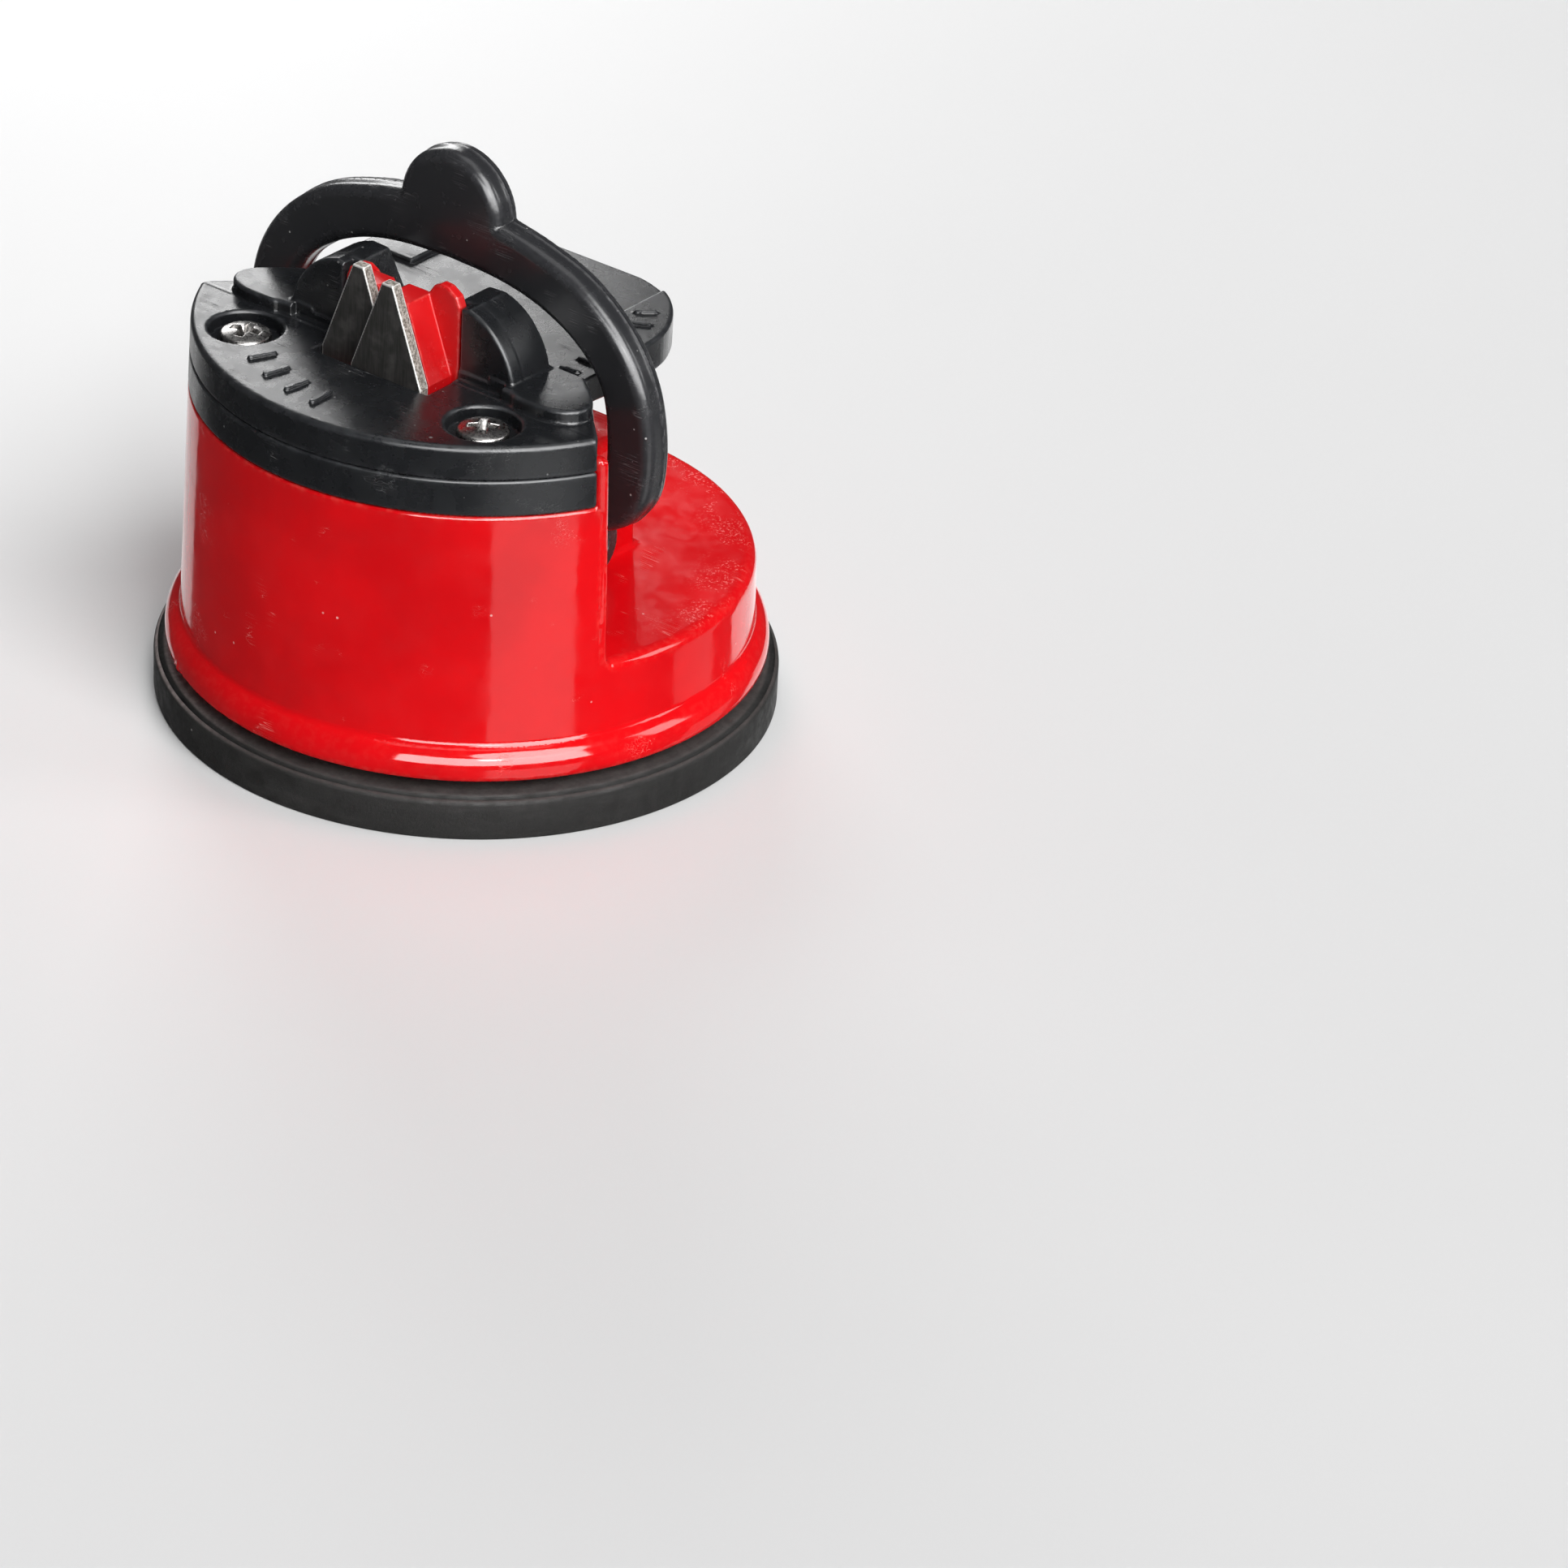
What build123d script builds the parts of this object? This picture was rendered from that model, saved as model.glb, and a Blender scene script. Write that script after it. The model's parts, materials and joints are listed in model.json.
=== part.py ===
"""Knife sharpener on a lever-locked vacuum cup: every part as its own solid.

Units are millimetres. The origin is the centre of the cup's lip on the table,
+Z is up, +X runs along the lever's axle and +Y points at the rear shelf.
The lever is drawn upright, which is the released position.
"""

import math
import os

from build123d import *

# Side of the square blocks that cut away whole halves; wider than the part.
STOCK = 80.0
# How far one solid runs into another that it is joined to or cut from.
OVERLAP = 0.5
# Half the height of the thin slice that picks out the edges at one level.
PICK = 0.01

# ---------------------------------------------------------------- cup and stud
CUP_RADIUS = 31.0
CUP_RIM_HEIGHT = 4.2
CUP_RIM_BEVEL = 0.5
CUP_LIP_INNER_RADIUS = 27.0
CUP_DOME_HEIGHT = 1.2
CUP_DOME_SIDE = (18.0, 0.9)
CUP_TOP_SLOPE = [(28.9, 4.3), (20.0, 5.6), (12.0, 6.2)]
CUP_COLLAR_FOOT = 7.2
CUP_COLLAR_RADIUS = 9.5
CUP_COLLAR_HEIGHT = 7.6
STUD_PLATE_RADIUS = 8.5
STUD_PLATE_THICKNESS = 1.2
STUD_RADIUS = 2.0
STUD_TOP = 14.6
STUD_BEVEL = 0.4
NUT_ACROSS_FLATS = 7.0
NUT_THICKNESS = 1.2

# --------------------------------------------------------------------- housing
SKIRT_BOTTOM = 5.5
SKIRT_RADIUS = 29.5
SKIRT_TOP = 8.6
SKIRT_SIDE = [(29.9, 6.4), (29.8, 7.3), (29.1, 8.2)]
SKIRT_MOUTH_DEPTH = 2.2
DRUM_BASE_RADIUS = 28.4
DRUM_TOP_RADIUS = 27.4
DRUM_TOP = 40.0
DRUM_TAPER = math.degrees(math.atan((DRUM_BASE_RADIUS - DRUM_TOP_RADIUS) / (DRUM_TOP - SKIRT_TOP)))
SHELF_HEIGHT = 16.2
SHELF_THICKNESS = 2.0
SHELF_EDGE_ROUND = 1.1
WALL = 2.0
CHORD_FRONT_Y = -11.9
CHORD_BACK_Y = -10.6
CHORD_WALL_TOP = 37.7
TOWER_TOP = 32.9
CAM_BOX_HALF_WIDTH = 13.0
CAM_BOX_BACK_Y = 10.0
CAM_BOX_TOP = 29.2
CAM_BOX_WALL = 2.0
CAM_BOX_BACK_WALL = 1.6
CAM_BOX_ROOF = 1.6
CAM_BOX_CORNER_ROUND = 1.2
CAM_BOX_ROOF_ROUND = 1.0
BASE_CAVITY_RADIUS = 26.0

# ---------------------------------------------------------- guide plate, screws
GUIDE_BOTTOM = 11.0
GUIDE_TOP = 13.0
GUIDE_RADIUS = 25.4
GUIDE_SCREW_CIRCLE = 20.0
GUIDE_SCREW_COUNT = 4
GUIDE_SCREW_START_ANGLE = 45.0
GUIDE_SCREW_GAP = 0.15
GUIDE_BEVEL = 0.4
GUIDE_SCREW_SHANK_RADIUS = 1.25
GUIDE_SCREW_HEAD_RADIUS = 2.5
GUIDE_SCREW_HEAD_HEIGHT = 1.2
GUIDE_SCREW_TIP = 15.4
GUIDE_BOSS_RADIUS = 3.2

# ------------------------------------------------------- axle, cam, lift yoke
AXLE_Y = 0.8
AXLE_Z = 20.0
AXLE_RADIUS = 2.0
AXLE_HALF_LENGTH = 15.0
AXLE_RUNNING_GAP = 0.05
AXLE_BEVEL = 0.3
BUSH_RADIUS = 3.0
BUSH_INNER_X = 10.6
BUSH_OUTER_X = 13.1
SPACER_RADIUS = 2.9
SPACER_END_GAP = 0.3
CAM_RADIUS = 3.6
CAM_HALF_WIDTH = 3.6
CAM_OFFSET = 1.305
CAM_START_ANGLE = 50.0
YOKE_HALF_WIDTH = 3.0
YOKE_GAP = 0.3
YOKE_BAR = 1.8
YOKE_OUTER_ROUND = 1.6
YOKE_INNER_ROUND = 1.2
YOKE_STEM_RADIUS = 4.5
YOKE_GUIDE_GAP = 0.05

# ----------------------------------------------------------------------- lever
LEVER_FRONT_Y = -5.0
LEVER_BACK_Y = -1.8
LEVER_FRONT_ROUND = 0.8
LEVER_BACK_ROUND = 0.4
TAB_TOP_Z = 58.9
FOOT_DEPTH = 2.6
HUB_RADIUS = 3.4
HUB_INNER_X = 13.4
HUB_OUTER_X = 15.0

# -------------------------------------------------------- black sharpening head
CARRIER_TOP = 36.6
CARRIER_CHORD_GAP = 0.1
PLUG_DEPTH = 1.5
PLUG_GAP = 0.3
CAP_RIM_ROUND = 0.5
HEAD_TOP = 40.0
LAYER_UNDERSIDE = 38.0
LAYER_TOP = 40.9
LOBE_TOP = 41.4
CHANNEL_HALF_WIDTH = 4.6
CHANNEL_FLOOR = 40.2
SCREW_X = 14.7
SCREW_Y = -16.8
COUNTERBORE_RADIUS = 3.6
COUNTERBORE_FLOOR = 38.5
SCREW_HEAD_RADIUS = 2.55
SCREW_HEAD_TOP = 39.9
SCREW_HEAD_ROUND = 0.45
RECESS_WIDTH = 0.7
RECESS_LENGTH = 3.0
RECESS_DEPTH = 0.8
SCREW_SHANK_RADIUS = 1.5
SCREW_TIP = 22.0
SCREW_HOLE_RADIUS = 1.8
SCREW_BOSS_RADIUS = 3.6
SCREW_BOSS_GAP = 0.3
GUARD_FRONT_Y = -11.4
GUARD_BACK_Y = -5.7
GUARD_STEP_Y = -10.0
FRONT_STEP_HALF_WIDTH = 13.0
FRONT_STEP_DEPTH = 4.0

# ------------------------------------------------------ V insert and its blades
BLADE_SHIFT_X = -0.4
BLADE_THICKNESS = 1.2
BLADE_FRONT_Y = -15.8
BLADE_APEX_Z = 49.6
BLADE_BOTTOM_Z = 37.2
BLADE_OFFSET_X = 2.3
BLADE_FLAT_HALF = 0.65
BLADE_SLOPE = 0.38
BLADE_TIP_BEVEL = 0.15
INSERT_BASE_BOTTOM = 34.4
INSERT_BASE_Y = -14.9
INSERT_BASE_WIDTH = 16.0
INSERT_BASE_DEPTH = 4.2
INSERT_BACK_Y = -10.1
TOOTH_FRONT_Y = -11.3
TOOTH_HALF_WIDTH = 7.0
WEDGE_TOP_Z = 47.6
POCKET_GAP = 0.1


def drum_radius(height):
    """Outside radius of the tapered drum at a height above the table."""
    share = (height - SKIRT_TOP) / (DRUM_TOP - SKIRT_TOP)
    return DRUM_BASE_RADIUS + share * (DRUM_TOP_RADIUS - DRUM_BASE_RADIUS)


def blade_profile(centre_x, bottom, apex=BLADE_APEX_Z, margin=0.0):
    """Corner points of an upright blade: square foot, then tapering sides."""
    half_foot = BLADE_FLAT_HALF + (BLADE_APEX_Z - HEAD_TOP) * BLADE_SLOPE + margin
    half_top = BLADE_FLAT_HALF + (BLADE_APEX_Z - apex) * BLADE_SLOPE + margin
    return [
        (centre_x - half_foot, bottom),
        (centre_x + half_foot, bottom),
        (centre_x + half_foot, HEAD_TOP),
        (centre_x + half_top, apex),
        (centre_x - half_top, apex),
        (centre_x - half_foot, HEAD_TOP),
    ]


def mirrored(points):
    """A right-hand outline followed by its mirror image in X, closed."""
    return points + [(-x, z) for x, z in reversed(points)]


# ------------------------------------------------------------------ suction cup
with BuildPart() as suction_disc:
    with BuildSketch(Plane.XZ):
        with BuildLine():
            Polyline(
                (0, CUP_DOME_HEIGHT),
                CUP_DOME_SIDE,
                (CUP_LIP_INNER_RADIUS, 0),
                (CUP_RADIUS, 0),
                (CUP_RADIUS, CUP_RIM_HEIGHT - CUP_RIM_BEVEL),
                (CUP_RADIUS - CUP_RIM_BEVEL, CUP_RIM_HEIGHT),
                *CUP_TOP_SLOPE,
                (CUP_COLLAR_RADIUS, CUP_COLLAR_FOOT),
                (CUP_COLLAR_RADIUS, CUP_COLLAR_HEIGHT),
                (0, CUP_COLLAR_HEIGHT),
                close=True,
            )
        make_face()
    revolve(axis=Axis.Z)

with BuildPart() as cup_stud:
    with BuildSketch(Plane.XY.offset(CUP_COLLAR_HEIGHT)):
        Circle(STUD_PLATE_RADIUS)
    extrude(amount=STUD_PLATE_THICKNESS)
    with BuildSketch(Plane.XY.offset(CUP_COLLAR_HEIGHT + STUD_PLATE_THICKNESS)):
        Circle(STUD_RADIUS)
    extrude(amount=STUD_TOP - CUP_COLLAR_HEIGHT - STUD_PLATE_THICKNESS)
    chamfer(cup_stud.edges().sort_by(Axis.Z)[-1], STUD_BEVEL)

NUT_BOTTOM = CUP_COLLAR_HEIGHT + STUD_PLATE_THICKNESS
with BuildPart() as lock_nut:
    with BuildSketch(Plane.XY.offset(NUT_BOTTOM)):
        RegularPolygon(NUT_ACROSS_FLATS / 2, 6, major_radius=False)
        Circle(STUD_RADIUS, mode=Mode.SUBTRACT)
    extrude(amount=NUT_THICKNESS)

# ------------------------------------------------- lift yoke around the cam
CAM_Y = AXLE_Y - CAM_OFFSET * math.cos(math.radians(CAM_START_ANGLE))
CAM_Z = AXLE_Z - CAM_OFFSET * math.sin(math.radians(CAM_START_ANGLE))
CAM_Y_MIN = AXLE_Y - CAM_OFFSET - CAM_RADIUS - YOKE_GAP
CAM_Y_MAX = CAM_Y + CAM_RADIUS + YOKE_GAP
WINDOW_BOTTOM = CAM_Z - CAM_RADIUS - YOKE_GAP
WINDOW_TOP = CAM_Z + CAM_RADIUS + YOKE_GAP
STEM_BOTTOM = NUT_BOTTOM + NUT_THICKNESS

with BuildPart() as lift_yoke:
    with BuildSketch(Plane.YZ.offset(-YOKE_HALF_WIDTH)):
        with Locations(((CAM_Y_MIN + CAM_Y_MAX) / 2, (WINDOW_BOTTOM + WINDOW_TOP) / 2)):
            RectangleRounded(
                CAM_Y_MAX - CAM_Y_MIN + 2 * YOKE_BAR,
                WINDOW_TOP - WINDOW_BOTTOM + 2 * YOKE_BAR,
                YOKE_OUTER_ROUND,
            )
            RectangleRounded(
                CAM_Y_MAX - CAM_Y_MIN,
                WINDOW_TOP - WINDOW_BOTTOM,
                YOKE_INNER_ROUND,
                mode=Mode.SUBTRACT,
            )
    extrude(amount=2 * YOKE_HALF_WIDTH)
    with BuildSketch(Plane.XY.offset(STEM_BOTTOM)):
        Circle(YOKE_STEM_RADIUS)
    extrude(amount=WINDOW_BOTTOM - YOKE_BAR / 2 - STEM_BOTTOM)
    with BuildSketch(Plane.XY.offset(STEM_BOTTOM)):
        Circle(STUD_RADIUS)
    extrude(amount=WINDOW_BOTTOM - STEM_BOTTOM, mode=Mode.SUBTRACT)

with BuildPart() as lift_cam:
    with BuildSketch(Plane.YZ.offset(-CAM_HALF_WIDTH)):
        with Locations((CAM_Y, CAM_Z)):
            Circle(CAM_RADIUS)
        with Locations((AXLE_Y, AXLE_Z)):
            Circle(AXLE_RADIUS, mode=Mode.SUBTRACT)
    extrude(amount=2 * CAM_HALF_WIDTH)

with BuildPart() as cross_axle:
    with BuildSketch(Plane.YZ.offset(-AXLE_HALF_LENGTH)):
        with Locations((AXLE_Y, AXLE_Z)):
            Circle(AXLE_RADIUS)
    extrude(amount=2 * AXLE_HALF_LENGTH)
    chamfer(cross_axle.edges().filter_by(GeomType.CIRCLE), AXLE_BEVEL)


def bush(side):
    """Bearing bush pressed into one side wall of the cam box."""
    start = BUSH_INNER_X if side > 0 else -BUSH_OUTER_X
    with BuildPart() as part:
        with BuildSketch(Plane.YZ.offset(start)):
            with Locations((AXLE_Y, AXLE_Z)):
                Circle(BUSH_RADIUS)
                Circle(AXLE_RADIUS + AXLE_RUNNING_GAP, mode=Mode.SUBTRACT)
        extrude(amount=BUSH_OUTER_X - BUSH_INNER_X)
    return part


def spacer(side):
    """Sleeve on the axle that keeps the cam centred over the stud."""
    start = CAM_HALF_WIDTH if side > 0 else SPACER_END_GAP - BUSH_INNER_X
    with BuildPart() as part:
        with BuildSketch(Plane.YZ.offset(start)):
            with Locations((AXLE_Y, AXLE_Z)):
                Circle(SPACER_RADIUS)
                Circle(AXLE_RADIUS, mode=Mode.SUBTRACT)
        extrude(amount=BUSH_INNER_X - SPACER_END_GAP - CAM_HALF_WIDTH)
    return part


axle_bush_left = bush(-1)
axle_bush_right = bush(1)
axle_spacer_left = spacer(-1)
axle_spacer_right = spacer(1)

# --------------------------------------------------------------------- housing
with BuildPart() as housing:
    # Tapered drum and tower with the bulged skirt, as one turned blank.
    with BuildSketch(Plane.XZ):
        with BuildLine():
            Polyline(
                (0, SKIRT_BOTTOM),
                (SKIRT_RADIUS, SKIRT_BOTTOM),
                *SKIRT_SIDE,
                (DRUM_BASE_RADIUS, SKIRT_TOP),
                (drum_radius(CHORD_WALL_TOP), CHORD_WALL_TOP),
                (0, CHORD_WALL_TOP),
                close=True,
            )
        make_face()
    revolve(axis=Axis.Z)
    # Rear shelf: everything behind the chord wall and above it goes.
    with BuildSketch(Plane.XY.offset(SHELF_HEIGHT)):
        with Locations((0, CHORD_BACK_Y + STOCK / 2)):
            Rectangle(STOCK, STOCK)
    extrude(amount=CHORD_WALL_TOP, mode=Mode.SUBTRACT)
    shelf_rim = (
        housing.edges()
        .filter_by(GeomType.CIRCLE)
        .filter_by_position(Axis.Z, SHELF_HEIGHT - PICK, SHELF_HEIGHT + PICK)
    )
    fillet(shelf_rim, SHELF_EDGE_ROUND)
    # Front tower stops lower than the chord wall, to carry the black head.
    with BuildSketch(Plane.XY.offset(TOWER_TOP)):
        with Locations((0, CHORD_FRONT_Y - STOCK / 2)):
            Rectangle(STOCK, STOCK)
    extrude(amount=CHORD_WALL_TOP, mode=Mode.SUBTRACT)
    # Tower cavity, open at the top.
    with BuildSketch(Plane.XY.offset(SHELF_HEIGHT)):
        Circle(drum_radius(TOWER_TOP) - WALL)
        with Locations((0, CHORD_FRONT_Y + STOCK / 2)):
            Rectangle(STOCK, STOCK, mode=Mode.SUBTRACT)
    extrude(amount=TOWER_TOP - SHELF_HEIGHT, mode=Mode.SUBTRACT)
    # Screw columns inside the tower.
    with BuildSketch(Plane.XY.offset(SHELF_HEIGHT - OVERLAP)):
        with Locations((SCREW_X, SCREW_Y), (-SCREW_X, SCREW_Y)):
            Circle(SCREW_BOSS_RADIUS)
    extrude(amount=TOWER_TOP - SHELF_HEIGHT + OVERLAP)
    # Cam box behind the chord wall.
    with BuildSketch(Plane.XY.offset(SHELF_HEIGHT - OVERLAP)):
        with Locations((0, (CHORD_BACK_Y - OVERLAP + CAM_BOX_BACK_Y) / 2)):
            Rectangle(2 * CAM_BOX_HALF_WIDTH, CAM_BOX_BACK_Y - CHORD_BACK_Y + OVERLAP)
    extrude(amount=CAM_BOX_TOP - SHELF_HEIGHT + OVERLAP)
    box_back_edges = (
        housing.edges()
        .filter_by(Axis.Z)
        .filter_by_position(Axis.Y, CAM_BOX_BACK_Y - PICK, CAM_BOX_BACK_Y + PICK)
    )
    fillet(box_back_edges, CAM_BOX_CORNER_ROUND)
    box_roof_edges = (
        housing.edges()
        .filter_by_position(Axis.Z, CAM_BOX_TOP - PICK, CAM_BOX_TOP + PICK)
        .filter_by_position(Axis.Y, CHORD_BACK_Y + PICK, CAM_BOX_BACK_Y + PICK)
    )
    fillet(box_roof_edges, CAM_BOX_ROOF_ROUND)
    # Inside of the cam box, open to the base cavity.
    with BuildSketch(Plane.XY.offset(SHELF_HEIGHT - SHELF_THICKNESS)):
        with Locations((0, (CHORD_BACK_Y + CAM_BOX_BACK_Y - CAM_BOX_BACK_WALL) / 2)):
            Rectangle(
                2 * (CAM_BOX_HALF_WIDTH - CAM_BOX_WALL),
                CAM_BOX_BACK_Y - CAM_BOX_BACK_WALL - CHORD_BACK_Y,
            )
    extrude(amount=CAM_BOX_TOP - CAM_BOX_ROOF - SHELF_HEIGHT + SHELF_THICKNESS, mode=Mode.SUBTRACT)
    # Base cavity under the shelf, and the wider skirt mouth.
    with BuildSketch(Plane.XY.offset(SKIRT_BOTTOM)):
        Circle(BASE_CAVITY_RADIUS)
    extrude(amount=SHELF_HEIGHT - SHELF_THICKNESS - SKIRT_BOTTOM, mode=Mode.SUBTRACT)
    with BuildSketch(Plane.XY.offset(SKIRT_BOTTOM)):
        Circle(SKIRT_RADIUS - WALL)
    extrude(amount=SKIRT_MOUTH_DEPTH, mode=Mode.SUBTRACT)
    # Bosses that the guide plate is screwed to.
    with BuildSketch(Plane.XY.offset(GUIDE_TOP)):
        with PolarLocations(GUIDE_SCREW_CIRCLE, GUIDE_SCREW_COUNT, GUIDE_SCREW_START_ANGLE):
            Circle(GUIDE_BOSS_RADIUS)
    extrude(amount=SHELF_HEIGHT - SHELF_THICKNESS - GUIDE_TOP + OVERLAP)
    with BuildSketch(Plane.XY.offset(GUIDE_TOP)):
        with PolarLocations(GUIDE_SCREW_CIRCLE, GUIDE_SCREW_COUNT, GUIDE_SCREW_START_ANGLE):
            Circle(GUIDE_SCREW_SHANK_RADIUS)
    extrude(amount=GUIDE_SCREW_TIP - GUIDE_TOP, mode=Mode.SUBTRACT)
    # Pilot holes for the two head screws.
    with BuildSketch(Plane.XY.offset(SCREW_TIP)):
        with Locations((SCREW_X, SCREW_Y), (-SCREW_X, SCREW_Y)):
            Circle(SCREW_SHANK_RADIUS)
    extrude(amount=TOWER_TOP - SCREW_TIP, mode=Mode.SUBTRACT)
    # Bush bores through both side walls of the cam box.
    with BuildSketch(Plane.YZ):
        with Locations((AXLE_Y, AXLE_Z)):
            Circle(BUSH_RADIUS)
    extrude(amount=CAM_BOX_HALF_WIDTH + OVERLAP, both=True, mode=Mode.SUBTRACT)

with BuildPart() as guide_plate:
    with BuildSketch(Plane.XY.offset(GUIDE_BOTTOM)):
        Circle(GUIDE_RADIUS)
        Circle(YOKE_STEM_RADIUS + YOKE_GUIDE_GAP, mode=Mode.SUBTRACT)
        with PolarLocations(GUIDE_SCREW_CIRCLE, GUIDE_SCREW_COUNT, GUIDE_SCREW_START_ANGLE):
            Circle(GUIDE_SCREW_SHANK_RADIUS + GUIDE_SCREW_GAP, mode=Mode.SUBTRACT)
    extrude(amount=GUIDE_TOP - GUIDE_BOTTOM)
    chamfer(guide_plate.edges().group_by(Axis.Z)[0].sort_by(SortBy.RADIUS)[-1], GUIDE_BEVEL)

with BuildPart() as guide_screws:
    with BuildSketch(Plane.XY.offset(GUIDE_BOTTOM - GUIDE_SCREW_HEAD_HEIGHT)):
        with PolarLocations(GUIDE_SCREW_CIRCLE, GUIDE_SCREW_COUNT, GUIDE_SCREW_START_ANGLE):
            Circle(GUIDE_SCREW_HEAD_RADIUS)
    extrude(amount=GUIDE_SCREW_HEAD_HEIGHT)
    with BuildSketch(Plane.XY.offset(GUIDE_BOTTOM)):
        with PolarLocations(GUIDE_SCREW_CIRCLE, GUIDE_SCREW_COUNT, GUIDE_SCREW_START_ANGLE):
            Circle(GUIDE_SCREW_SHANK_RADIUS)
    extrude(amount=GUIDE_SCREW_TIP - GUIDE_BOTTOM)

# ----------------------------------------------------------------------- lever
# Right half of the arch's outer edge, from the thumb tab down to the foot.
LEVER_OUTER = [
    (10.4, 52.2),
    (15.5, 50.5),
    (19.4, 47.9),
    (22.3, 44.8),
    (24.2, 41.2),
    (25.1, 37.2),
    (25.3, 33.6),
    (24.7, 30.2),
    (22.9, 27.4),
    (20.6, 25.8),
    (18.0, 24.7),
]
# Right half of the window's edge, from its crown down to the foot.
LEVER_INNER = [
    (5.6, 47.4),
    (10.2, 46.5),
    (14.2, 44.8),
    (17.0, 42.7),
    (18.6, 40.6),
    (19.3, 38.3),
    (19.6, 35.6),
    (19.6, 32.8),
    (18.9, 30.2),
    (17.2, 28.4),
    (15.2, 27.6),
]
LEVER_FOOT = [
    LEVER_OUTER[-1],
    (16.0, 23.2),
    (HUB_OUTER_X, 21.2),
    (HUB_OUTER_X, AXLE_Z - FOOT_DEPTH),
    (HUB_INNER_X, AXLE_Z - FOOT_DEPTH),
    (HUB_INNER_X, 26.6),
    LEVER_INNER[-1],
]
LEVER_CROWN = (0, 47.7)
NECK = (6.2, 53.1)


def flipped(points):
    """The same points on the left-hand side, in reverse order."""
    return [(-x, z) for x, z in reversed(points)]


with BuildPart() as lever:
    # Arch, feet and thumb tab as one flat blank.
    with BuildSketch(Plane.XZ.offset(-LEVER_BACK_Y)):
        with BuildLine():
            Spline([NECK] + LEVER_OUTER)
            Polyline(LEVER_FOOT)
            Spline(list(reversed(LEVER_INNER)) + [LEVER_CROWN] + flipped(list(reversed(LEVER_INNER))))
            Polyline(flipped(LEVER_FOOT))
            Spline(flipped([NECK] + LEVER_OUTER))
            ThreePointArc(flipped([NECK])[0], (0, TAB_TOP_Z), NECK)
        make_face()
    extrude(amount=LEVER_BACK_Y - LEVER_FRONT_Y)
    front_edges = lever.edges().filter_by_position(Axis.Y, LEVER_FRONT_Y - PICK, LEVER_FRONT_Y + PICK)
    front_curves = front_edges.filter_by(GeomType.BSPLINE) + front_edges.filter_by(GeomType.CIRCLE)
    fillet(front_curves, LEVER_FRONT_ROUND)
    back_edges = lever.edges().filter_by_position(Axis.Y, LEVER_BACK_Y - PICK, LEVER_BACK_Y + PICK)
    back_curves = back_edges.filter_by(GeomType.BSPLINE) + back_edges.filter_by(GeomType.CIRCLE)
    fillet(back_curves, LEVER_BACK_ROUND)
    # Round hubs on the axle, one at the inner end of each foot.
    with BuildSketch(Plane.YZ.offset(HUB_INNER_X)):
        with Locations((AXLE_Y, AXLE_Z)):
            Circle(HUB_RADIUS)
    extrude(amount=HUB_OUTER_X - HUB_INNER_X)
    with BuildSketch(Plane.YZ.offset(-HUB_OUTER_X)):
        with Locations((AXLE_Y, AXLE_Z)):
            Circle(HUB_RADIUS)
    extrude(amount=HUB_OUTER_X - HUB_INNER_X)
    with BuildSketch(Plane.YZ.offset(-AXLE_HALF_LENGTH)):
        with Locations((AXLE_Y, AXLE_Z)):
            Circle(AXLE_RADIUS)
    extrude(amount=2 * AXLE_HALF_LENGTH, mode=Mode.SUBTRACT)

# --------------------------------------------------------------- carrier (lower)
with BuildPart() as carrier:
    with BuildSketch(Plane.XY.offset(TOWER_TOP)):
        Circle(drum_radius(TOWER_TOP))
        with Locations((0, CHORD_FRONT_Y - CARRIER_CHORD_GAP + STOCK / 2)):
            Rectangle(STOCK, STOCK, mode=Mode.SUBTRACT)
    extrude(amount=CARRIER_TOP - TOWER_TOP, taper=DRUM_TAPER)
    # Plug that drops inside the tower walls.
    with BuildSketch(Plane.XY.offset(TOWER_TOP)):
        Circle(drum_radius(TOWER_TOP) - WALL - PLUG_GAP)
        with Locations((0, CHORD_FRONT_Y - PLUG_GAP + STOCK / 2)):
            Rectangle(STOCK, STOCK, mode=Mode.SUBTRACT)
        with Locations((SCREW_X, SCREW_Y), (-SCREW_X, SCREW_Y)):
            Circle(SCREW_BOSS_RADIUS + SCREW_BOSS_GAP, mode=Mode.SUBTRACT)
    extrude(amount=-PLUG_DEPTH)
    # Holes for the two screws, and the socket for the V insert.
    with BuildSketch(Plane.XY.offset(TOWER_TOP - PLUG_DEPTH)):
        with Locations((SCREW_X, SCREW_Y), (-SCREW_X, SCREW_Y)):
            Circle(SCREW_HOLE_RADIUS)
    extrude(amount=CARRIER_TOP - TOWER_TOP + PLUG_DEPTH, mode=Mode.SUBTRACT)
    with BuildSketch(Plane.XY.offset(INSERT_BASE_BOTTOM)):
        with Locations((0, INSERT_BASE_Y)):
            Rectangle(INSERT_BASE_WIDTH + 2 * POCKET_GAP, INSERT_BASE_DEPTH + 2 * POCKET_GAP)
    extrude(amount=CARRIER_TOP - INSERT_BASE_BOTTOM, mode=Mode.SUBTRACT)

# ------------------------------------------------------------- top plate (upper)
# Right half of the guard layer: front lobe, waist at the lever, rear lobe.
FRONT_LOBE = [
    (13.0, -12.2),
    (15.2, -12.7),
    (18.6, -12.7),
    (20.9, -11.8),
    (21.7, -10.0),
    (21.0, -8.2),
    (19.0, -6.4),
]
REAR_LOBE = [
    (17.3, 5.6),
    (16.8, 8.2),
    (15.5, 10.8),
    (13.6, 13.2),
    (11.2, 15.0),
    (8.0, 16.2),
    (4.8, 16.4),
]
WAIST = [(17.2, -4.6), (17.4, 3.2)]
# Right half of the web, from the cap's back corner to the waist.
WEB = [(24.4, CHORD_FRONT_Y - OVERLAP), (24.0, CHORD_FRONT_Y + OVERLAP), (20.0, -7.4), WAIST[0]]
# Rectangles cut out of the layer: centre Y, width, depth.
LOW_MIDDLE = [(2.4, 22.0, 29.6), (-1.0, 40.0, 8.4)]
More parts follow.
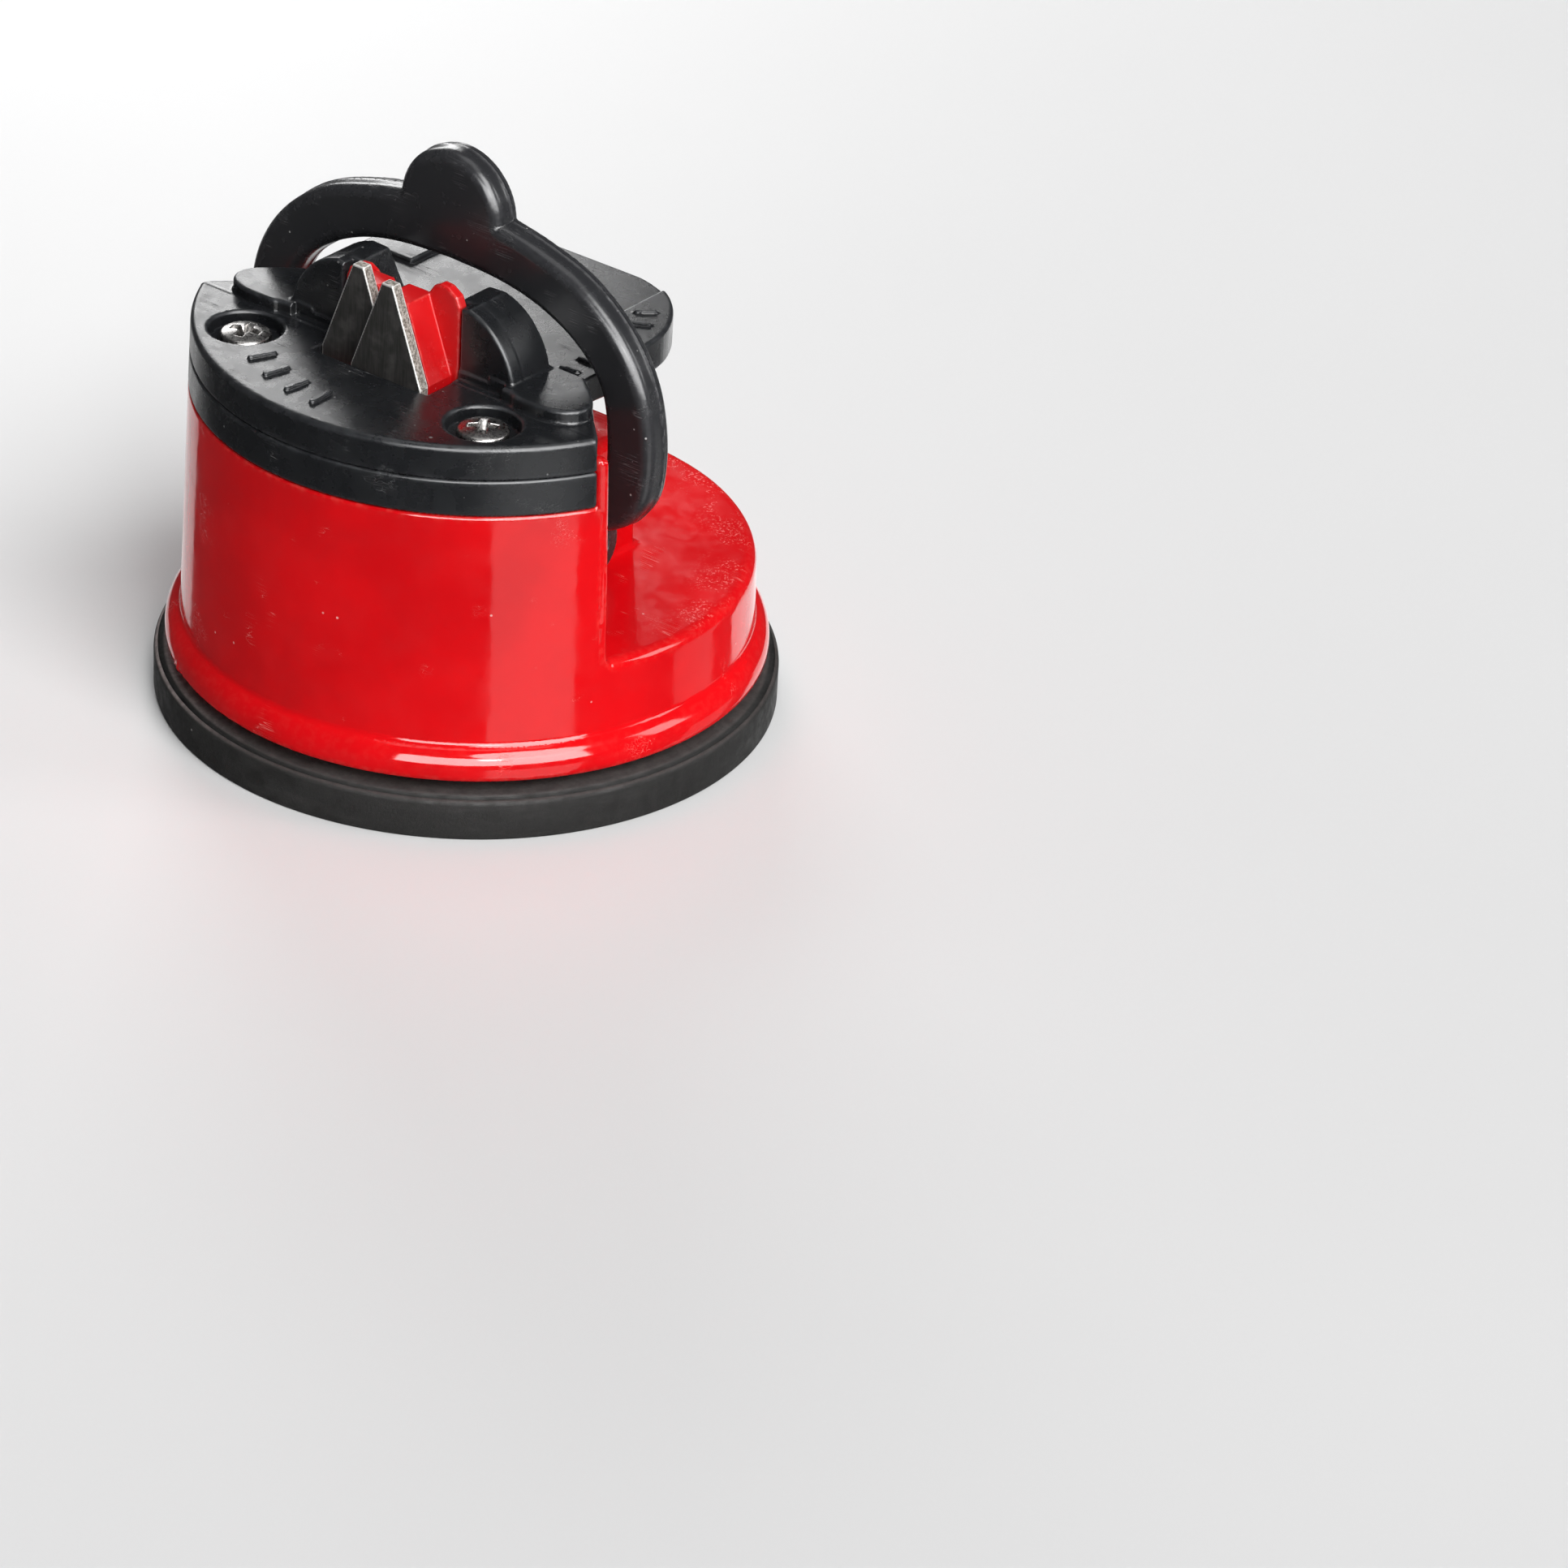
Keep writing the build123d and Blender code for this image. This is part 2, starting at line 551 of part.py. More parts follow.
# Right half of the guard fin's outline, seen from the front.
GUARD_OUTER = [
    (13.8, HEAD_TOP - OVERLAP),
    (13.75, 41.2),
    (13.5, 42.5),
    (13.0, 43.7),
    (12.3, 44.8),
    (11.4, 45.8),
    (10.4, 46.6),
    (9.3, 47.2),
    (8.2, 47.5),
]
GUARD_INNER_FRONT = [(7.2, 47.3), (7.2, HEAD_TOP - OVERLAP)]
GUARD_INNER_BACK = [(6.2, 47.4), (3.7, 42.9), (2.9, HEAD_TOP - OVERLAP)]

with BuildPart() as top_plate:
    # D-shaped cap over the carrier.
    with BuildSketch(Plane.XY.offset(CARRIER_TOP)):
        Circle(drum_radius(CARRIER_TOP))
        with Locations((0, CHORD_FRONT_Y - CARRIER_CHORD_GAP + STOCK / 2)):
            Rectangle(STOCK, STOCK, mode=Mode.SUBTRACT)
    extrude(amount=HEAD_TOP - CARRIER_TOP, taper=DRUM_TAPER)
    cap_rim = (
        top_plate.edges()
        .filter_by(GeomType.CIRCLE)
        .filter_by_position(Axis.Z, HEAD_TOP - PICK, HEAD_TOP + PICK)
    )
    fillet(cap_rim, CAP_RIM_ROUND)
    # Web that carries the cap's back edge inwards to the waist.
    with BuildSketch(Plane.XY.offset(LAYER_UNDERSIDE)):
        with BuildLine():
            Polyline(
                mirrored(WEB),
                close=True,
            )
        make_face()
    extrude(amount=HEAD_TOP - LAYER_UNDERSIDE)
    # Guard layer over the web, running back through the lever's window.
    with BuildSketch(Plane.XY.offset(LAYER_UNDERSIDE)):
        with BuildLine():
            Polyline(mirrored(FRONT_LOBE + WAIST + REAR_LOBE), close=True)
        make_face()
    extrude(amount=LOBE_TOP - LAYER_UNDERSIDE)
    # The middle of the layer is lower than its four lobes.
    with BuildSketch(Plane.XY.offset(LAYER_TOP)):
        for centre_y, width, depth in LOW_MIDDLE:
            with Locations((0, centre_y)):
                Rectangle(width, depth)
    extrude(amount=LOBE_TOP - LAYER_TOP, mode=Mode.SUBTRACT)
    # Shallow channel the knife travels over.
    with BuildSketch(Plane.XY.offset(CHANNEL_FLOOR)):
        with Locations((0, GUARD_FRONT_Y + OVERLAP + STOCK / 2)):
            Rectangle(2 * CHANNEL_HALF_WIDTH, STOCK)
    extrude(amount=LOBE_TOP - CHANNEL_FLOOR, mode=Mode.SUBTRACT)
    # The layer in front of the guards is cut back to the cap's level.
    with BuildSketch(Plane.XY.offset(HEAD_TOP)):
        with Locations((0, GUARD_FRONT_Y - FRONT_STEP_DEPTH / 2)):
            Rectangle(2 * FRONT_STEP_HALF_WIDTH, FRONT_STEP_DEPTH)
    extrude(amount=LOBE_TOP - HEAD_TOP, mode=Mode.SUBTRACT)
    # Two quarter-round guard fins.
    with BuildSketch(Plane.XZ.offset(-GUARD_STEP_Y)):
        for side in (1, -1):
            with BuildLine():
                Polyline([(side * x, z) for x, z in GUARD_OUTER + GUARD_INNER_FRONT], close=True)
            make_face()
    extrude(amount=GUARD_STEP_Y - GUARD_FRONT_Y)
    with BuildSketch(Plane.XZ.offset(-GUARD_BACK_Y)):
        for side in (1, -1):
            with BuildLine():
                Polyline([(side * x, z) for x, z in GUARD_OUTER + GUARD_INNER_BACK], close=True)
            make_face()
    extrude(amount=GUARD_BACK_Y - GUARD_STEP_Y)
    # Screw holes with counterbores.
    with BuildSketch(Plane.XY.offset(CARRIER_TOP)):
        with Locations((SCREW_X, SCREW_Y), (-SCREW_X, SCREW_Y)):
            Circle(SCREW_HOLE_RADIUS)
    extrude(amount=HEAD_TOP - CARRIER_TOP, mode=Mode.SUBTRACT)
    with BuildSketch(Plane.XY.offset(COUNTERBORE_FLOOR)):
        with Locations((SCREW_X, SCREW_Y), (-SCREW_X, SCREW_Y)):
            Circle(COUNTERBORE_RADIUS)
    extrude(amount=HEAD_TOP - COUNTERBORE_FLOOR, mode=Mode.SUBTRACT)
    # Window for the V insert and the blades, wider where the base sits.
    with BuildSketch(Plane.XY.offset(CARRIER_TOP)):
        with Locations((0, INSERT_BASE_Y)):
            Rectangle(INSERT_BASE_WIDTH + 2 * POCKET_GAP, INSERT_BASE_DEPTH + 2 * POCKET_GAP)
    extrude(amount=LAYER_UNDERSIDE - CARRIER_TOP, mode=Mode.SUBTRACT)
    with BuildSketch(Plane.XY.offset(LAYER_UNDERSIDE)):
        with Locations((0, (BLADE_FRONT_Y + INSERT_BACK_Y) / 2)):
            Rectangle(
                2 * (TOOTH_HALF_WIDTH + POCKET_GAP),
                INSERT_BACK_Y - BLADE_FRONT_Y + 2 * POCKET_GAP,
            )
    extrude(amount=LOBE_TOP - LAYER_UNDERSIDE, mode=Mode.SUBTRACT)

# --------------------------------------------------------------------- V insert
RIGHT_BLADE_X = BLADE_SHIFT_X + BLADE_OFFSET_X
LEFT_BLADE_X = BLADE_SHIFT_X - BLADE_OFFSET_X
RIGHT_BLADE_BACK_Y = BLADE_FRONT_Y + BLADE_THICKNESS
LEFT_BLADE_BACK_Y = RIGHT_BLADE_BACK_Y + BLADE_THICKNESS
TOOTH_OUTLINE = [
    (0.4, 43.6),
    (3.1, 47.6),
    (3.7, 48.5),
    (4.6, 49.0),
    (5.5, 48.9),
    (6.6, 48.2),
    (TOOTH_HALF_WIDTH, 47.2),
    (TOOTH_HALF_WIDTH, LAYER_UNDERSIDE),
]

with BuildPart() as v_insert:
    # Base block clamped between the carrier and the top plate.
    with BuildSketch(Plane.XY.offset(INSERT_BASE_BOTTOM)):
        with Locations((0, INSERT_BASE_Y)):
            Rectangle(INSERT_BASE_WIDTH, INSERT_BASE_DEPTH)
    extrude(amount=LAYER_UNDERSIDE - INSERT_BASE_BOTTOM)
    # Back wall: two rounded teeth with the V notch between them.
    with BuildSketch(Plane.XZ.offset(-INSERT_BACK_Y)):
        with BuildLine():
            Polyline(mirrored(TOOTH_OUTLINE), close=True)
        make_face()
    extrude(amount=INSERT_BACK_Y - TOOTH_FRONT_Y)
    # Backing wedges, one behind each blade.
    with BuildSketch(Plane.XZ.offset(-TOOTH_FRONT_Y)):
        for side in (1, -1):
            with BuildLine():
                Polyline(
                    blade_profile(BLADE_SHIFT_X + side * BLADE_OFFSET_X, LAYER_UNDERSIDE, WEDGE_TOP_Z),
                    close=True,
                )
            make_face()
    extrude(amount=TOOTH_FRONT_Y - RIGHT_BLADE_BACK_Y)
    # Slots the two blades stand in, the right one ahead of the left one.
    with BuildSketch(Plane.XZ.offset(-LEFT_BLADE_BACK_Y - POCKET_GAP)):
        with BuildLine():
            Polyline(
                blade_profile(LEFT_BLADE_X, BLADE_BOTTOM_Z - POCKET_GAP, margin=POCKET_GAP),
                close=True,
            )
        make_face()
    extrude(amount=BLADE_THICKNESS + 2 * POCKET_GAP, mode=Mode.SUBTRACT)
    with BuildSketch(Plane.XZ.offset(-RIGHT_BLADE_BACK_Y - POCKET_GAP)):
        with BuildLine():
            Polyline(
                blade_profile(RIGHT_BLADE_X, BLADE_BOTTOM_Z - POCKET_GAP, margin=POCKET_GAP),
                close=True,
            )
        make_face()
    extrude(amount=BLADE_THICKNESS + 2 * POCKET_GAP, mode=Mode.SUBTRACT)


def blade(centre_x, back_y):
    """Flat hard-metal plate, a truncated triangle with ground edges."""
    with BuildPart() as part:
        with BuildSketch(Plane.XZ.offset(-back_y)):
            with BuildLine():
                Polyline(blade_profile(centre_x, BLADE_BOTTOM_Z), close=True)
            make_face()
        extrude(amount=BLADE_THICKNESS)
        chamfer(part.edges().filter_by(Axis.Y).group_by(Axis.Z)[-1], BLADE_TIP_BEVEL)
    return part


blade_left = blade(LEFT_BLADE_X, LEFT_BLADE_BACK_Y)
blade_right = blade(RIGHT_BLADE_X, RIGHT_BLADE_BACK_Y)


def head_screw(side):
    """Cross-recessed pan-head screw that clamps the top plate and carrier."""
    with BuildPart() as part:
        with BuildSketch(Plane.XY.offset(COUNTERBORE_FLOOR)):
            with Locations((side * SCREW_X, SCREW_Y)):
                Circle(SCREW_HEAD_RADIUS)
        extrude(amount=SCREW_HEAD_TOP - COUNTERBORE_FLOOR)
        fillet(part.edges().group_by(Axis.Z)[-1], SCREW_HEAD_ROUND)
        with BuildSketch(Plane.XY.offset(SCREW_HEAD_TOP)):
            with Locations((side * SCREW_X, SCREW_Y)):
                Rectangle(RECESS_LENGTH, RECESS_WIDTH)
                Rectangle(RECESS_WIDTH, RECESS_LENGTH)
        extrude(amount=-RECESS_DEPTH, mode=Mode.SUBTRACT)
        with BuildSketch(Plane.XY.offset(COUNTERBORE_FLOOR)):
            with Locations((side * SCREW_X, SCREW_Y)):
                Circle(SCREW_SHANK_RADIUS)
        extrude(amount=SCREW_TIP - COUNTERBORE_FLOOR)
    return part


head_screw_left = head_screw(-1)
head_screw_right = head_screw(1)

# ---------------------------------------------------------------------- export
NODES = {
    "suction_disc": suction_disc,
    "cup_stud": cup_stud,
    "lock_nut": lock_nut,
    "lift_yoke": lift_yoke,
    "lift_cam": lift_cam,
    "cross_axle": cross_axle,
    "axle_bush_left": axle_bush_left,
    "axle_bush_right": axle_bush_right,
    "axle_spacer_left": axle_spacer_left,
    "axle_spacer_right": axle_spacer_right,
    "housing": housing,
    "guide_plate": guide_plate,
    "guide_screws": guide_screws,
    "lever": lever,
    "carrier": carrier,
    "top_plate": top_plate,
    "v_insert": v_insert,
    "blade_left": blade_left,
    "blade_right": blade_right,
    "head_screw_left": head_screw_left,
    "head_screw_right": head_screw_right,
}

os.makedirs("parts", exist_ok=True)
for node, builder in NODES.items():
    builder.part.label = node
    export_step(builder.part, f"parts/{node}.step")
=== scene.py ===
"""Looks of the knife sharpener on its vacuum cup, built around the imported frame.

Shapes are worked out in millimetres as signed distance fields and meshed in metres.
"""

import json
import math
from itertools import product

import bmesh
import bpy
import numpy as np
from mathutils import Matrix, Vector


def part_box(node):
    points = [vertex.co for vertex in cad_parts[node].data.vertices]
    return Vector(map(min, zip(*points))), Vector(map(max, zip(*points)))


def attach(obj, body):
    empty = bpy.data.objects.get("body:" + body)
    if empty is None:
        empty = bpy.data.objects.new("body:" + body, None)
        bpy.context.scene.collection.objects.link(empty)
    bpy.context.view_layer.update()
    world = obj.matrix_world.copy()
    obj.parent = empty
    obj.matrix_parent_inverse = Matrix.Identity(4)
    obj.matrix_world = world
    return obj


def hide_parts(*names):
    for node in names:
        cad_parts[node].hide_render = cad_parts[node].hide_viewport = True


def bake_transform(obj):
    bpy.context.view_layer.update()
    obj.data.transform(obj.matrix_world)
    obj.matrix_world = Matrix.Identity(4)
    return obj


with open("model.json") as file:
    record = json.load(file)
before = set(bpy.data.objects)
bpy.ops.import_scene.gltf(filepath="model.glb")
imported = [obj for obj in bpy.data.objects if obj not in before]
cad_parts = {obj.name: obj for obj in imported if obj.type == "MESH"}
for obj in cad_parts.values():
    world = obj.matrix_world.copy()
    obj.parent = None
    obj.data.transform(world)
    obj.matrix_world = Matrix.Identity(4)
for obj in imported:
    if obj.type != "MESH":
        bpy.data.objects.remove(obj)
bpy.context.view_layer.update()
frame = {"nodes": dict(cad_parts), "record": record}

MM = 0.001
# Turned points closer than this many metres become one.
MERGE_DISTANCE = 1e-6
# Grid cells of room before and after a node's box.
GRID_MARGIN = (2.3, 2.5)
# How far apart a field is probed, in millimetres: for its surface, its normals and its bend.
PROBE_REACH, NORMAL_REACH, BEND_REACH = 0.02, 0.03, 0.15
# From a field's bend to a share of edge, for wear and painted highlight, and of hollow, for painted shade.
BEND_GAIN = 0.3
BODY_OF = {
    node: body
    for body, nodes in frame["record"]["behaviour"]["bodies"].items()
    for node in nodes
}
SLOT_OF = {row["node"]: row["material_slot"] for row in frame["record"]["subparts"]}


def box_mm(node):
    """Lowest and highest corner of a CAD node, in millimetres."""
    low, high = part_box(node)
    return np.array(low) / MM, np.array(high) / MM


# --------------------------------------------------------------- distance fields
def polyline_field(u, v, points, closed=True):
    """Signed distance to an outline. An open one closes along u = 0, for a mirrored half."""
    inside = np.zeros(np.broadcast(u, v).shape, bool)
    best = np.full(inside.shape, 1e9)
    pairs = list(zip(points, points[1:] + points[:1]))
    for number, ((au, av), (bu, bv)) in enumerate(pairs):
        eu, ev = bu - au, bv - av
        wu, wv = u - au, v - av
        if closed or number < len(pairs) - 1:
            t = np.clip((wu * eu + wv * ev) / (eu * eu + ev * ev + 1e-12), 0, 1)
            best = np.minimum(best, (wu - t * eu) ** 2 + (wv - t * ev) ** 2)
        if ev != 0:
            inside ^= ((av > v) != (bv > v)) & (wu < eu * wv / ev)
    return np.where(inside, -1.0, 1.0) * np.sqrt(best)


def slab(t, low, high):
    """A layer between two planes."""
    return np.abs(t - (low + high) / 2) - (high - low) / 2


def both(*fields):
    """What all the shapes share."""
    result = fields[0]
    for field in fields[1:]:
        result = np.maximum(result, field)
    return result


def either(*fields):
    """All the shapes together."""
    result = fields[0]
    for field in fields[1:]:
        result = np.minimum(result, field)
    return result


def both_round(a, b, radius):
    """What two shapes share, with its edge rounded."""
    corner = np.hypot(np.maximum(radius + a, 0), np.maximum(radius + b, 0))
    return np.minimum(-radius, np.maximum(a, b)) + corner


def either_round(a, b, radius):
    """Two shapes together, with a fillet where they meet."""
    corner = np.hypot(np.maximum(radius - a, 0), np.maximum(radius - b, 0))
    return np.maximum(radius, np.minimum(a, b)) - corner


def without(a, b, radius=0.0):
    """The first shape less the second one, with its edge rounded."""
    return both_round(a, -b, radius) if radius else np.maximum(a, -b)


def rod(u, v, centre, radius):
    """An endless round bar."""
    return np.hypot(u - centre[0], v - centre[1]) - radius


def spread(start, end, parts):
    """Evenly spaced values from start to end."""
    return [start + (end - start) * number / parts for number in range(parts + 1)]


# ------------------------------------------------------------------- mesh making
def add_object(name, data):
    made = bpy.data.objects.new(name, data)
    bpy.context.scene.collection.objects.link(made)
    return made


def add_mesh(name, points, faces, normals, values=None):
    """A mesh object in metres from points in millimetres, with smooth normals and point values."""
    mesh = bpy.data.meshes.new(name)
    mesh.from_pydata((np.asarray(points) * MM).tolist(), [], np.asarray(faces).tolist())
    mesh.shade_smooth()
    if normals is not None:
        mesh.normals_split_custom_set_from_vertices(np.asarray(normals).tolist())
    for key, data in (values or {}).items():
        mesh.attributes.new(key, "FLOAT", "POINT").data.foreach_set("value", data.astype(np.float32))
    return add_object(name, mesh)


def surface_net(field, low, high, step):
    """Points and quads of the field's zero surface."""
    before, after = (margin * step for margin in GRID_MARGIN)
    axes = [np.arange(a - before, b + after, step) for a, b in zip(low, high)]
    x, y, z = np.meshgrid(*axes, indexing="ij", sparse=True)
    shape = tuple(len(axis) for axis in axes)
    values = np.broadcast_to(field(x, y, z), shape).astype(np.float32)
    inside = values < 0
    cell = tuple(size - 1 for size in shape)
    count = np.zeros(cell, np.int8)
    for i, j, k in product((0, 1), repeat=3):
        count += inside[i:i + cell[0], j:j + cell[1], k:k + cell[2]]
    mixed = (count > 0) & (count < 8)
    index = np.full(cell, -1, np.int64)
    index[mixed] = np.arange(mixed.sum())
    cells = np.argwhere(mixed)
    total = np.zeros(cells.shape)
    hits = np.zeros(len(cells))
    for axis in range(3):
        others = [other for other in range(3) if other != axis]
        for a, b in product((0, 1), repeat=2):
            start = cells.copy()
            start[:, others[0]] += a
            start[:, others[1]] += b
            end = start.copy()
            end[:, axis] += 1
            first = values[tuple(start.T)]
            last = values[tuple(end.T)]
            cross = (first < 0) != (last < 0)
            share = np.where(cross, first / np.where(cross, first - last, 1), 0)
            point = start.astype(float)
            point[:, axis] += share
            total[cross] += point[cross]
            hits[cross] += 1
    origin = np.array([axis[0] for axis in axes])
    points = origin + step * total / hits[:, None]
    quads = []
    for axis in range(3):
        a, b = [(1, 2), (2, 0), (0, 1)][axis]
        start = [slice(1, size - 1) for size in shape]
        start[axis] = slice(0, shape[axis] - 1)
        end = list(start)
        end[axis] = slice(1, shape[axis])
        near, far = inside[tuple(start)], inside[tuple(end)]
        edges = np.argwhere(near != far)
        outward = near[tuple(edges.T)]
        edges[:, a] += 1
        edges[:, b] += 1
        ring = []
        for da, db in ((1, 1), (0, 1), (0, 0), (1, 0)):
            corner = edges.copy()
            corner[:, a] -= da
            corner[:, b] -= db
            ring.append(index[tuple(corner.T)])
        ring = np.stack(ring, 1)
        ring[~outward] = ring[~outward][:, ::-1]
        quads.append(ring)
    return points, np.concatenate(quads)


def probe(field, points, reach):
    """Value, unit gradient and Laplacian of the field at each point."""
    x, y, z = points.T
    value = field(x, y, z)
    gradient = np.zeros(points.shape)
    bend = -6 * value
    for axis in range(3):
        shift = np.zeros(3)
        shift[axis] = reach
        ahead = field(*(points + shift).T)
        behind = field(*(points - shift).T)
        gradient[:, axis] = ahead - behind
        bend = bend + ahead + behind
    size = np.linalg.norm(gradient, axis=1, keepdims=True)
    return value, gradient / np.maximum(size, 1e-9), bend / reach**2


def solid(name, field, node, step):
    """A fine mesh that stands for a CAD node, with its edges marked for wear and painted highlight and its
    hollows for painted shade.
    """
    low, high = box_mm(node)
    points, quads = surface_net(field, low, high, step)
    for _ in range(2):
        value, normal, _ = probe(field, points, PROBE_REACH)
        points = points - normal * np.clip(value, -step, step)[:, None]
    _, normal, _ = probe(field, points, NORMAL_REACH)
    bend = probe(field, points, BEND_REACH)[2]
    # Edges mark wear and, on the blades, painted highlight; hollows mark painted shade.
    values = {"edge": np.clip(bend * BEND_GAIN, 0, 1), "hollow": np.clip(-bend * BEND_GAIN, 0, 1)}
    piece = add_mesh(name, points, quads, normal, values)
    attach(piece, BODY_OF[node])
    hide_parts(node)
    return piece


def lathe(name, profile, count=288):
    """A closed turned mesh about Z from a closed outline of (radius, height)."""
    points, faces = [], []
    rows = len(profile)
    for number in range(count):
        angle = 2 * math.pi * number / count
        points += [(r * math.cos(angle), r * math.sin(angle), z) for r, z in profile]
        for row in range(rows - 1):
            a = number * rows + row
            b = (number + 1) % count * rows + row
            faces.append((a, b, b + 1, a + 1))
    piece = add_mesh(name, points, faces, None)
    joined = bmesh.new()
    joined.from_mesh(piece.data)
    bmesh.ops.remove_doubles(joined, verts=joined.verts[:], dist=MERGE_DISTANCE)
    joined.to_mesh(piece.data)
    joined.free()
    return piece


# ------------------------------------------------------- dimensions from the frame
housing_low, housing_high = box_mm("housing")
carrier_low, carrier_high = box_mm("carrier")
lever_low, lever_high = box_mm("lever")
insert_low, _ = box_mm("v_insert")
screw_low, screw_high = box_mm("head_screw_right")
_, disc_high = box_mm("suction_disc")
axle_low, axle_high = box_mm("cross_axle")
_, guide_high = box_mm("guide_plate")

AXLE_Y = (axle_low[1] + axle_high[1]) / 2
AXLE_Z = (axle_low[2] + axle_high[2]) / 2
AXLE_PLACE = (AXLE_Y, AXLE_Z)
AXLE_RADIUS = (axle_high[2] - axle_low[2]) / 2
SCREW_X = (screw_low[0] + screw_high[0]) / 2
SCREW_Y = (screw_low[1] + screw_high[1]) / 2
SCREW_PLACE = (SCREW_X, SCREW_Y)

HEAD_TOP = 40.0
SKIRT_TOP = 8.6
DRUM_BASE, DRUM_TOP = 28.4, 27.4
DRUM_SLOPE = (DRUM_BASE - DRUM_TOP) / (HEAD_TOP - SKIRT_TOP)


def drum_field(x, y, z):
    """Signed distance to the tapered drum's side."""
    return (np.hypot(x, y) - DRUM_BASE + (z - SKIRT_TOP) * DRUM_SLOPE) / math.hypot(1, DRUM_SLOPE)


# ------------------------------------------------------------------------ housing
SKIRT_BOTTOM = housing_low[2]
SKIRT_RADIUS = housing_high[0]
WALL_TOP = housing_high[2]
SHELF = 16.2
WALL_FRONT, WALL_BACK = -11.9, -10.6
TOWER_TOP = carrier_low[2] + 1.5
TOWER_FRONT_OVERLAP = 0.5
WALL_TOP_ROUND, WALL_FRONT_ROUND, SHELF_FILLET = 0.45, 0.3, 0.5
# The drum's top edge is rounder behind the wall than under the head.
RIM_ROUND, RIM_ROUND_MORE, RIM_ROUND_RUN = 0.4, 0.7, 1.5
# Half width, back and top of the box that holds the cam, outside and inside.
CAM_BOX = (13.0, 10.0, 29.2)
CAM_ROOM = (11.0, 8.4, 27.6)
CAM_BOX_SIDE_ROUND, CAM_BOX_TOP_ROUND = 1.2, 1.0
SKIRT_BULGE, SKIRT_MIDDLE, SKIRT_TALLNESS = 2.2, 6.6, 0.92
SKIRT_EDGE_ROUND, SKIRT_FILLET, SKIRT_OVERLAP = 0.7, 0.3, 1.0
CAVITY_RADIUS = 26.0
SHELF_THICKNESS = 2.0
MOUTH_RADIUS, MOUTH_DEPTH, MOUTH_ROUND = 27.5, 2.2, 0.2
TOWER_ROOM_RADIUS = 25.6
ROOM_OVERLAP = 0.5
COLUMN_RADIUS = 3.6
PILOT_RADIUS, PILOT_BOTTOM = 1.5, 22.0
BOSS_PLACE = (14.142, 14.142)
BOSS_RADIUS, BOSS_TOP_BELOW_SHELF = 3.2, 1.5
BOSS_PILOT_RADIUS, BOSS_PILOT_TOP = 1.25, 15.4
BUSH_SEAT_RADIUS, BUSH_SEAT_START, BUSH_SEAT_END = 3.0, 10.0, 14.0

# Flecks of flash on the skirt's lower edge: angle about Z and radius.
BURRS = [(-2.115, 0.50), (-2.085, 0.36), (-2.145, 0.40), (-2.06, 0.30)]
BURR_INSET, BURR_HEIGHT, BURR_FILLET = 0.35, 0.55, 0.15


